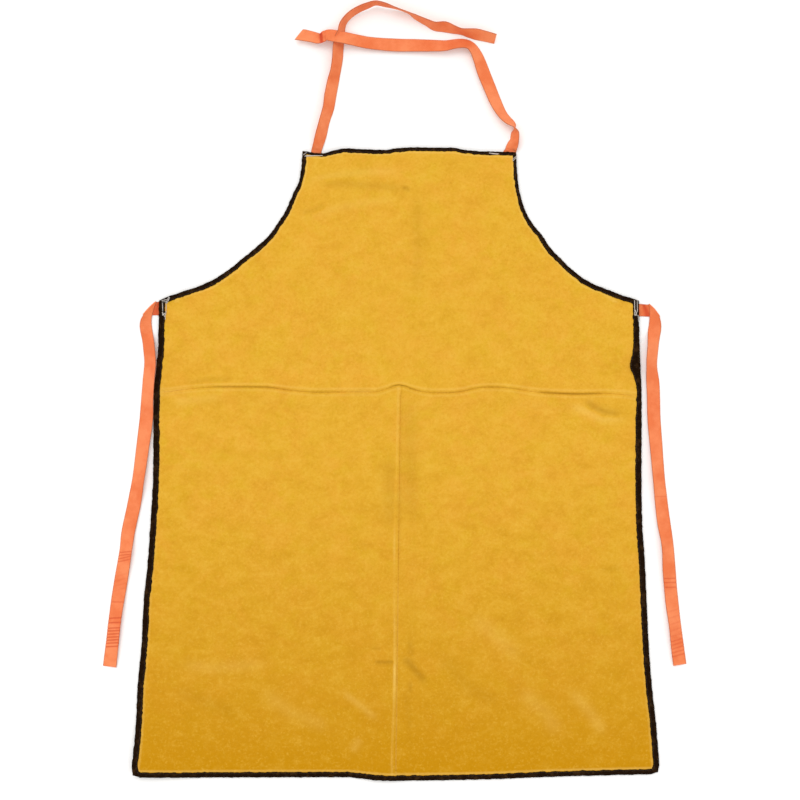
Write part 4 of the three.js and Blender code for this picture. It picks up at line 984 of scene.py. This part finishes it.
class Graph:
    def __init__(self, name):
        self.material = bpy.data.materials.new(name)
        self.material.use_nodes = True
        self.tree = self.material.node_tree
        self.shader = self.tree.nodes["Principled BSDF"]
        self.coords = self.tree.nodes.new("ShaderNodeTexCoord")

    def link(self, source, target):
        self.tree.links.new(source, target)

    def put(self, socket, value):
        if isinstance(value, bpy.types.NodeSocket):
            self.link(value, socket)
        elif value is not None:
            socket.default_value = value

    def scaled(self, source, scale, turn=0):
        node = self.tree.nodes.new("ShaderNodeMapping")
        node.inputs["Scale"].default_value = scale
        node.inputs["Rotation"].default_value = (0, 0, turn)
        self.link(source, node.inputs["Vector"])
        return node.outputs["Vector"]

    def noise(self, vector, scale, detail=3, roughness=0.55, distortion=0):
        node = self.tree.nodes.new("ShaderNodeTexNoise")
        node.inputs["Scale"].default_value = scale
        node.inputs["Detail"].default_value = detail
        node.inputs["Roughness"].default_value = roughness
        node.inputs["Distortion"].default_value = distortion
        self.link(vector, node.inputs["Vector"])
        return node.outputs["Fac"]

    def ridges(self, vector, scale, direction, distortion=0):
        node = self.tree.nodes.new("ShaderNodeTexWave")
        node.bands_direction = direction
        node.inputs["Scale"].default_value = scale
        node.inputs["Distortion"].default_value = distortion
        self.link(vector, node.inputs["Vector"])
        return node.outputs["Fac"]

    def span(self, value, fromLow, fromHigh, low=0.0, high=1.0):
        node = self.tree.nodes.new("ShaderNodeMapRange")
        node.inputs["From Min"].default_value = fromLow
        node.inputs["From Max"].default_value = fromHigh
        node.inputs["To Min"].default_value = low
        node.inputs["To Max"].default_value = high
        self.link(value, node.inputs["Value"])
        return node.outputs["Result"]

    def sum(self, operation, a, b):
        node = self.tree.nodes.new("ShaderNodeMath")
        node.operation = operation
        self.put(node.inputs[0], a)
        self.put(node.inputs[1], b)
        return node.outputs["Value"]

    def blend(self, factor, a, b, kind="MIX"):
        node = self.tree.nodes.new("ShaderNodeMix")
        node.data_type = "RGBA"
        node.blend_type = kind
        self.put(node.inputs["Factor"], factor)
        self.put(node.inputs["A"], (*a, 1) if isinstance(a, tuple) else a)
        self.put(node.inputs["B"], (*b, 1) if isinstance(b, tuple) else b)
        return node.outputs["Result"]

    def bump(self, height, distance, strength=1.0, before=None):
        node = self.tree.nodes.new("ShaderNodeBump")
        node.inputs["Distance"].default_value = distance
        node.inputs["Strength"].default_value = strength
        self.link(height, node.inputs["Height"])
        if before is not None:
            self.link(before, node.inputs["Normal"])
        return node.outputs["Normal"]

    def toned(self, color, light, dark):
        # painted highlight towards light where tone is above 0, painted shade towards dark where tone is
        # below 0
        tone = self.tree.nodes.new("ShaderNodeAttribute")
        tone.attribute_name = "tone"
        color = self.blend(self.span(tone.outputs["Fac"], 0, 1), color, light)
        return self.blend(self.span(tone.outputs["Fac"], 0, -1), color, dark)

    def part(self, vector, axis):
        node = self.tree.nodes.new("ShaderNodeSeparateXYZ")
        self.link(vector, node.inputs["Vector"])
        return node.outputs[axis]

    def finish(self, color, roughness, normal, **values):
        self.put(self.shader.inputs["Base Color"], color)
        self.put(self.shader.inputs["Roughness"], roughness)
        self.link(normal, self.shader.inputs["Normal"])
        for name, value in values.items():
            self.shader.inputs[name.replace("_", " ")].default_value = value
        return self.material


def suedeMaterial():
    # groove is the painted shade colour and ridge the painted highlight colour
    look = {"base": (0.70, 0.378, 0.030), "orange": (0.718, 0.359, 0.033), "lemon": (0.675, 0.386, 0.024),
            "pale": (0.80, 0.485, 0.066), "deep": (0.52, 0.24, 0.006), "hem": (0.515, 0.233, 0.001),
            "groove": (0.33, 0.15, 0.006), "ridge": (0.90, 0.60, 0.15)}
    g = Graph("suede")
    here = g.coords.outputs["Object"]
    color = g.blend(g.span(g.noise(here, 15, 5, 0.6, 0.2), 0.42, 0.62), look["base"], look["orange"])
    patches = g.noise(g.scaled(here, (1, 1.25, 1), 0.6), 24, 5, 0.65)
    color = g.blend(g.span(patches, 0.5, 0.68, 0, 0.8), color, look["lemon"])
    down = g.span(g.part(here, "Y"), 0.05, -0.56)
    color = g.blend(g.sum("MULTIPLY", down, down), color, look["hem"])
    clouds = g.noise(g.scaled(here, (1, 1.35, 1), 0.5), 34, 7, 0.74, 0.3)
    paler, deeper = g.span(down, 0.2, 1, 0.4, 0.22), g.span(down, 0.2, 1, 0.38, 0.8)
    color = g.blend(g.sum("MULTIPLY", g.span(clouds, 0.5, 0.72), paler), color, look["pale"])
    color = g.blend(g.sum("MULTIPLY", g.span(clouds, 0.5, 0.28), deeper), color, look["deep"])
    grain = g.noise(here, 260, 4, 0.72)
    color = g.blend(g.span(grain, 0.52, 0.72, 0, 0.38), color, look["pale"])
    color = g.blend(g.span(grain, 0.48, 0.28, 0, 0.38), color, look["deep"])
    # painted shade and painted highlight from the tone attribute
    color = g.toned(color, look["ridge"], look["groove"])
    nap = g.noise(here, 900, 3, 0.75)
    soft = g.bump(g.noise(here, 75, 4, 0.6), 0.0022, 0.6)
    normal = g.bump(g.sum("ADD", nap, grain), 0.0006, 0.7, soft)
    return g.finish(color, 0.96, normal, Specular_IOR_Level=0.05, Sheen_Weight=0.06, Sheen_Roughness=0.5,
                    Sheen_Tint=(1, 0.7, 0.3, 1))


def bindingMaterial():
    look = {"dark": (0.006, 0.0022, 0.0008), "worn": (0.028, 0.012, 0.004), "dust": (0.11, 0.08, 0.05),
            "brown": (0.055, 0.026, 0.008)}
    g = Graph("binding_tape")
    uv = g.coords.outputs["UV"]
    here = g.coords.outputs["Object"]
    weave = g.sum("MULTIPLY", g.ridges(uv, 420, "X", 0.6), g.ridges(uv, 300, "Y", 0.8))
    fuzz = g.noise(here, 900, 3, 0.7)
    color = g.blend(weave, look["dark"], look["worn"])
    color = g.blend(g.span(g.noise(here, 210, 3, 0.7), 0.6, 0.78, 0, 0.4), color, look["dust"])
    color = g.blend(g.span(fuzz, 0.45, 0.8, 0, 0.3), color, look["worn"])
    color = g.blend(g.span(g.noise(here, 130, 3, 0.6), 0.52, 0.68, 0, 0.6), color, look["brown"])
    normal = g.bump(g.sum("ADD", weave, fuzz), 0.0003, 0.8)
    return g.finish(color, 0.9, normal, Specular_IOR_Level=0.03)


def webbingMaterial():
    # light is the painted highlight colour; deep darkens the weave and is the painted shade colour
    look = {"orange": (0.845, 0.20, 0.065), "pale": (0.94, 0.29, 0.115), "deep": (0.62, 0.07, 0.02),
            "edge": (0.42, 0.12, 0.055), "light": (0.95, 0.36, 0.17)}
    g = Graph("orange_webbing")
    uv = g.coords.outputs["UV"]
    ribs = g.ridges(uv, 300, "Y", 0.4)
    ends = g.ridges(uv, 210, "X", 0.3)
    weave = g.sum("ADD", g.sum("MULTIPLY", ribs, 0.6), g.sum("MULTIPLY", ends, 0.4))
    shade = g.noise(g.coords.outputs["Object"], 26, 4, 0.65)
    color = g.blend(g.span(shade, 0.4, 0.62), look["orange"], look["pale"])
    color = g.blend(g.span(weave, 0.5, 0.05, 0, 0.5), color, look["deep"])
    threads = g.noise(g.scaled(uv, (420, 90, 1)), 5, 2, 0.6)
    color = g.blend(g.span(threads, 0.5, 0.8, 0, 0.3), color, look["pale"])
    across = g.part(uv, "X")
    color = g.blend(g.span(across, 0.0011, 0.0002, 0, 0.75), color, look["edge"])
    color = g.blend(g.span(across, 0.0189, 0.0198, 0, 0.75), color, look["edge"])
    # painted highlight and painted shade from the tone attribute
    color = g.toned(color, look["light"], look["deep"])
    normal = g.bump(weave, 0.0004, 0.8)
    return g.finish(color, 0.65, normal, Specular_IOR_Level=0.15, Sheen_Weight=0.1, Sheen_Roughness=0.4,
                    Sheen_Tint=(1, 0.6, 0.4, 1))


def threadMaterial(name, pale, grey):
    g = Graph(name)
    here = g.coords.outputs["Object"]
    strands = g.noise(here, 1800, 2, 0.6)
    color = g.blend(g.span(strands, 0.3, 0.7), pale, grey)
    return g.finish(color, 0.6, g.bump(strands, 0.0002, 0.6), Specular_IOR_Level=0.3)


suedeSkin = suedeMaterial()
tapeWeave = bindingMaterial()
strap = webbingMaterial()
paleThread = threadMaterial("pale_thread", (0.72, 0.66, 0.6), (0.42, 0.38, 0.34))
darkThread = threadMaterial("dark_thread", (0.05, 0.032, 0.022), (0.018, 0.012, 0.009))
for piece in (bibSuede, leftSuede, rightSuede):
    piece.data.materials.append(suedeSkin)
for piece in tapes.values():
    piece.data.materials.append(tapeWeave)
for piece in ties:
    piece.data.materials.append(strap)

# one small stitch, lying along +X, repeated by geometry nodes
def stitchShape(name, length, radius):
    rings = [(-0.5, 0.25, -0.8), (-0.3, 0.85, -0.1), (0, 1, 0.15), (0.3, 0.85, -0.1), (0.5, 0.25, -0.8)]
    sides = 6
    vertices, faces = [], []
    for along, size, up in rings:
        for k in range(sides):
            turn = 2 * math.pi * k / sides
            across, rise = size * math.cos(turn), up + size * math.sin(turn) * 0.7
            vertices.append((along * length, across * radius, rise * radius))
    for ring in range(len(rings) - 1):
        for k in range(sides):
            p, q = ring * sides + k, ring * sides + (k + 1) % sides
            faces.append([p, q, q + sides, p + sides])
    faces.append(list(range(sides))[::-1])
    faces.append(list(range(len(vertices) - sides, len(vertices))))
    mesh = bpy.data.meshes.new(name)
    mesh.from_pydata(vertices, [], faces)
    mesh.shade_smooth()
    mesh.update()
    work = bmesh.new()
    work.from_mesh(mesh)
    bmesh.ops.recalc_face_normals(work, faces=work.faces)
    work.to_mesh(mesh)
    work.free()
    return bpy.data.objects.new(name, mesh)


def stitchGroup():
    tree = bpy.data.node_groups.new("stitch_row", "GeometryNodeTree")
    face = tree.interface
    face.new_socket(name="Geometry", in_out="INPUT", socket_type="NodeSocketGeometry")
    pitch = face.new_socket(name="Pitch", in_out="INPUT", socket_type="NodeSocketFloat")
    pitch.default_value = 3.2 * mm
    face.new_socket(name="Stitch", in_out="INPUT", socket_type="NodeSocketObject")
    face.new_socket(name="Thread", in_out="INPUT", socket_type="NodeSocketMaterial")
    face.new_socket(name="Seed", in_out="INPUT", socket_type="NodeSocketInt")
    face.new_socket(name="Geometry", in_out="OUTPUT", socket_type="NodeSocketGeometry")
    add = tree.nodes.new
    link = tree.links.new
    start, end = add("NodeGroupInput"), add("NodeGroupOutput")
    curve = add("GeometryNodeMeshToCurve")
    link(start.outputs["Geometry"], curve.inputs["Mesh"])
    points = add("GeometryNodeCurveToPoints")
    points.mode = "LENGTH"
    link(curve.outputs["Curve"], points.inputs["Curve"])
    link(start.outputs["Pitch"], points.inputs["Length"])
    shape = add("GeometryNodeObjectInfo")
    link(start.outputs["Stitch"], shape.inputs["Object"])
    turn = add("FunctionNodeAlignRotationToVector")
    turn.axis = "X"
    turn.pivot_axis = "Z"
    link(points.outputs["Tangent"], turn.inputs["Vector"])
    jitter = add("FunctionNodeRandomValue")
    jitter.data_type = "FLOAT"
    jitter.inputs["Min"].default_value = 0.88
    jitter.inputs["Max"].default_value = 1.12
    link(start.outputs["Seed"], jitter.inputs["Seed"])
    place = add("GeometryNodeInstanceOnPoints")
    link(points.outputs["Points"], place.inputs["Points"])
    link(shape.outputs["Geometry"], place.inputs["Instance"])
    link(turn.outputs["Rotation"], place.inputs["Rotation"])
    link(jitter.outputs["Value"], place.inputs["Scale"])
    real = add("GeometryNodeRealizeInstances")
    link(place.outputs["Instances"], real.inputs["Geometry"])
    paint = add("GeometryNodeSetMaterial")
    link(real.outputs["Geometry"], paint.inputs["Geometry"])
    link(start.outputs["Thread"], paint.inputs["Material"])
    link(paint.outputs["Geometry"], end.inputs["Geometry"])
    return tree


stitchRow = stitchGroup()


def stitches(name, lines, pitch, shape, thread, seed):
    vertices, edges = [], []
    for line in lines:
        start = len(vertices)
        vertices += [tuple(point) for point in line]
        edges += [(start + k, start + k + 1) for k in range(len(line) - 1)]
    guide = bpy.data.meshes.new(name + "_line")
    guide.from_pydata(vertices, edges, [])
    holder = bpy.data.objects.new(name + "_line", guide)
    scene.collection.objects.link(holder)
    rule = holder.modifiers.new("stitches", "NODES")
    rule.node_group = stitchRow
    values = {"Pitch": pitch, "Stitch": shape, "Thread": thread, "Seed": seed}
    for socket in stitchRow.interface.items_tree:
        if socket.item_type == "SOCKET" and socket.name in values:
            rule[socket.identifier] = values[socket.name]
    depsgraph = bpy.context.evaluated_depsgraph_get()
    mesh = bpy.data.meshes.new_from_object(holder.evaluated_get(depsgraph))
    mesh.name = name
    bpy.data.objects.remove(holder)
    piece = bpy.data.objects.new(name, mesh)
    scene.collection.objects.link(piece)
    return piece


tapeStitch = stitchShape("tape_stitch", 2.5 * mm, 0.32 * mm)
tackStitch = stitchShape("tack_stitch", 2.1 * mm, 0.6 * mm)
tapeLines = [(line + origin) * mm for line in stitchLines]
tapeThread = stitches("binding_thread", tapeLines, 3.3 * mm, tapeStitch, darkThread, 5)

# bar tacks at the tie ends, sewn over the binding: the ends of each row of thread
tacks = [
    {"from": (-339.9, 684.2), "to": (-334.2, 685.3)},
    {"from": (-339.6, 682.2), "to": (-334.6, 682.7)},
    {"from": (-334.3, 681.3), "to": (-330.6, 689.0)},
    {"from": (-332.8, 681.0), "to": (-329.5, 687.9)},
    {"from": (-339.5, 679.3), "to": (-339.2, 672.1)},
    {"from": (-339.2, 670.0), "to": (-339.1, 665.0)},
    {"from": (-334.3, 680.0), "to": (-334.2, 675.0)},
    {"from": (-334.2, 672.8), "to": (-334.5, 666.4)},
    {"from": (-339.5, 666.4), "to": (-335.2, 664.1)},
    {"from": (-339.2, 663.5), "to": (-334.9, 666.4)},
    {"from": (-338.9, 665.0), "to": (-336.3, 661.5)},
    {"from": (-335.8, 663.0), "to": (-335.5, 658.1)},
    {"from": (336.6, 683.6), "to": (336.9, 664.1)},
    {"from": (340.4, 684.2), "to": (340.6, 669.3)},
    {"from": (337.8, 669.8), "to": (339.8, 663.2)},
    {"from": (340.1, 667.8), "to": (337.5, 663.0)},
    {"from": (341.8, 662.1), "to": (342.4, 654.9)},
    {"from": (-136.9, 893.4), "to": (-133.7, 895.7)},
    {"from": (-134.0, 891.7), "to": (-111.1, 891.5)},
    {"from": (-135.4, 890.8), "to": (-124.0, 891.1)},
    {"from": (129.0, 895.4), "to": (141.2, 894.3)},
    {"from": (132.6, 894.5), "to": (139.7, 893.7)},
    {"from": (162.5, 886.7), "to": (167.0, 890.5)},
    {"from": (162.9, 884.8), "to": (167.2, 888.5)},
]


covers = [np.array([vertex.co[:] for vertex in piece.data.vertices]) / mm - origin
          for piece in [bibSuede, leftSuede, rightSuede, *tapes.values()]]


def topAt(x, y):
    highest = 0
    for cover in covers:
        close = np.hypot(cover[:, 0] - x, cover[:, 1] - y) < 2.4
        if close.any():
            highest = max(highest, cover[close, 2].max())
    return highest


tackLines = []
for tack in tacks:
    shares = np.linspace(0, 1, 6)
    xs = mix(tack["from"][0], tack["to"][0], shares)
    ys = mix(tack["from"][1], tack["to"][1], shares)
    tackLines.append([((x + origin[0]) * mm, (y + origin[1]) * mm, (topAt(x, y) + 0.1) * mm)
                      for x, y in zip(xs, ys)])
tackThread = stitches("bar_tacks", tackLines, 1.7 * mm, tackStitch, paleThread, 9)
print("stitches:", len(tapeThread.data.polygons) + len(tackThread.data.polygons), "faces")

# pale floor and soft studio light
floorMesh = bpy.data.meshes.new("floor")
floorMesh.from_pydata([(-9, -9, 0), (9, -9, 0), (9, 9, 0), (-9, 9, 0)], [], [[0, 1, 2, 3]])
floor = bpy.data.objects.new("floor", floorMesh)
scene.collection.objects.link(floor)
paper = Graph("paper_floor")
grain = paper.noise(paper.coords.outputs["Object"], 300, 3, 0.6)
white = paper.blend(grain, (0.96, 0.96, 0.96), (0.985, 0.985, 0.985))
floorMesh.materials.append(paper.finish(white, 0.95, paper.bump(grain, 0.0001, 0.3), Specular_IOR_Level=0.0))

light = {"sky": 1.0, "key": 0.74, "softness": 35, "towards": (0.25, -0.5, -1)}
world = bpy.data.worlds.new("studio")
scene.world = world
world.use_nodes = True
sky = world.node_tree.nodes["Background"]
sky.inputs["Color"].default_value = (1, 0.99, 0.975, 1)
sky.inputs["Strength"].default_value = light["sky"]

keyData = bpy.data.lights.new("key", "SUN")
keyData.energy = light["key"]
keyData.angle = math.radians(light["softness"])
keyData.color = (1, 0.985, 0.965)
key = bpy.data.objects.new("key", keyData)
key.rotation_euler = Vector(light["towards"]).to_track_quat("-Z", "Y").to_euler()
scene.collection.objects.link(key)
scene.view_settings.view_transform = "Standard"

# which CAD node each piece stands for, and what it is made of
stands = [
    (bibSuede, "bib_panel", "leather"), (leftSuede, "skirt_panel_left", "leather"),
    (rightSuede, "skirt_panel_right", "leather"), (neckLeft, "neck_tie_left", "webbing"),
    (neckRight, "neck_tie_right", "webbing"), (waistLeft, "waist_tie_left", "webbing"),
    (waistRight, "waist_tie_right", "webbing"),
]
stands += [(piece, "binding_" + name, "binding") for name, piece in tapes.items()]
for piece, node, slotName in stands:
    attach(piece, "root")
    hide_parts(node)
for piece in (tapeThread, tackThread):
    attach(piece, "root")


def flatArea(main):
    a = main[1:, :-1] - main[:-1, :-1]
    b = main[:-1, 1:] - main[:-1, :-1]
    return float(np.abs(a[..., 0] * b[..., 1] - a[..., 1] * b[..., 0]).sum()) * mm * mm


# each area is the measured upper face with its turned edges added, in square metres
round(flatArea(bibMain) + 0.006, 4)
round(flatArea(leftMain) + 0.009, 4)
round(flatArea(rightMain) + 0.009, 4)
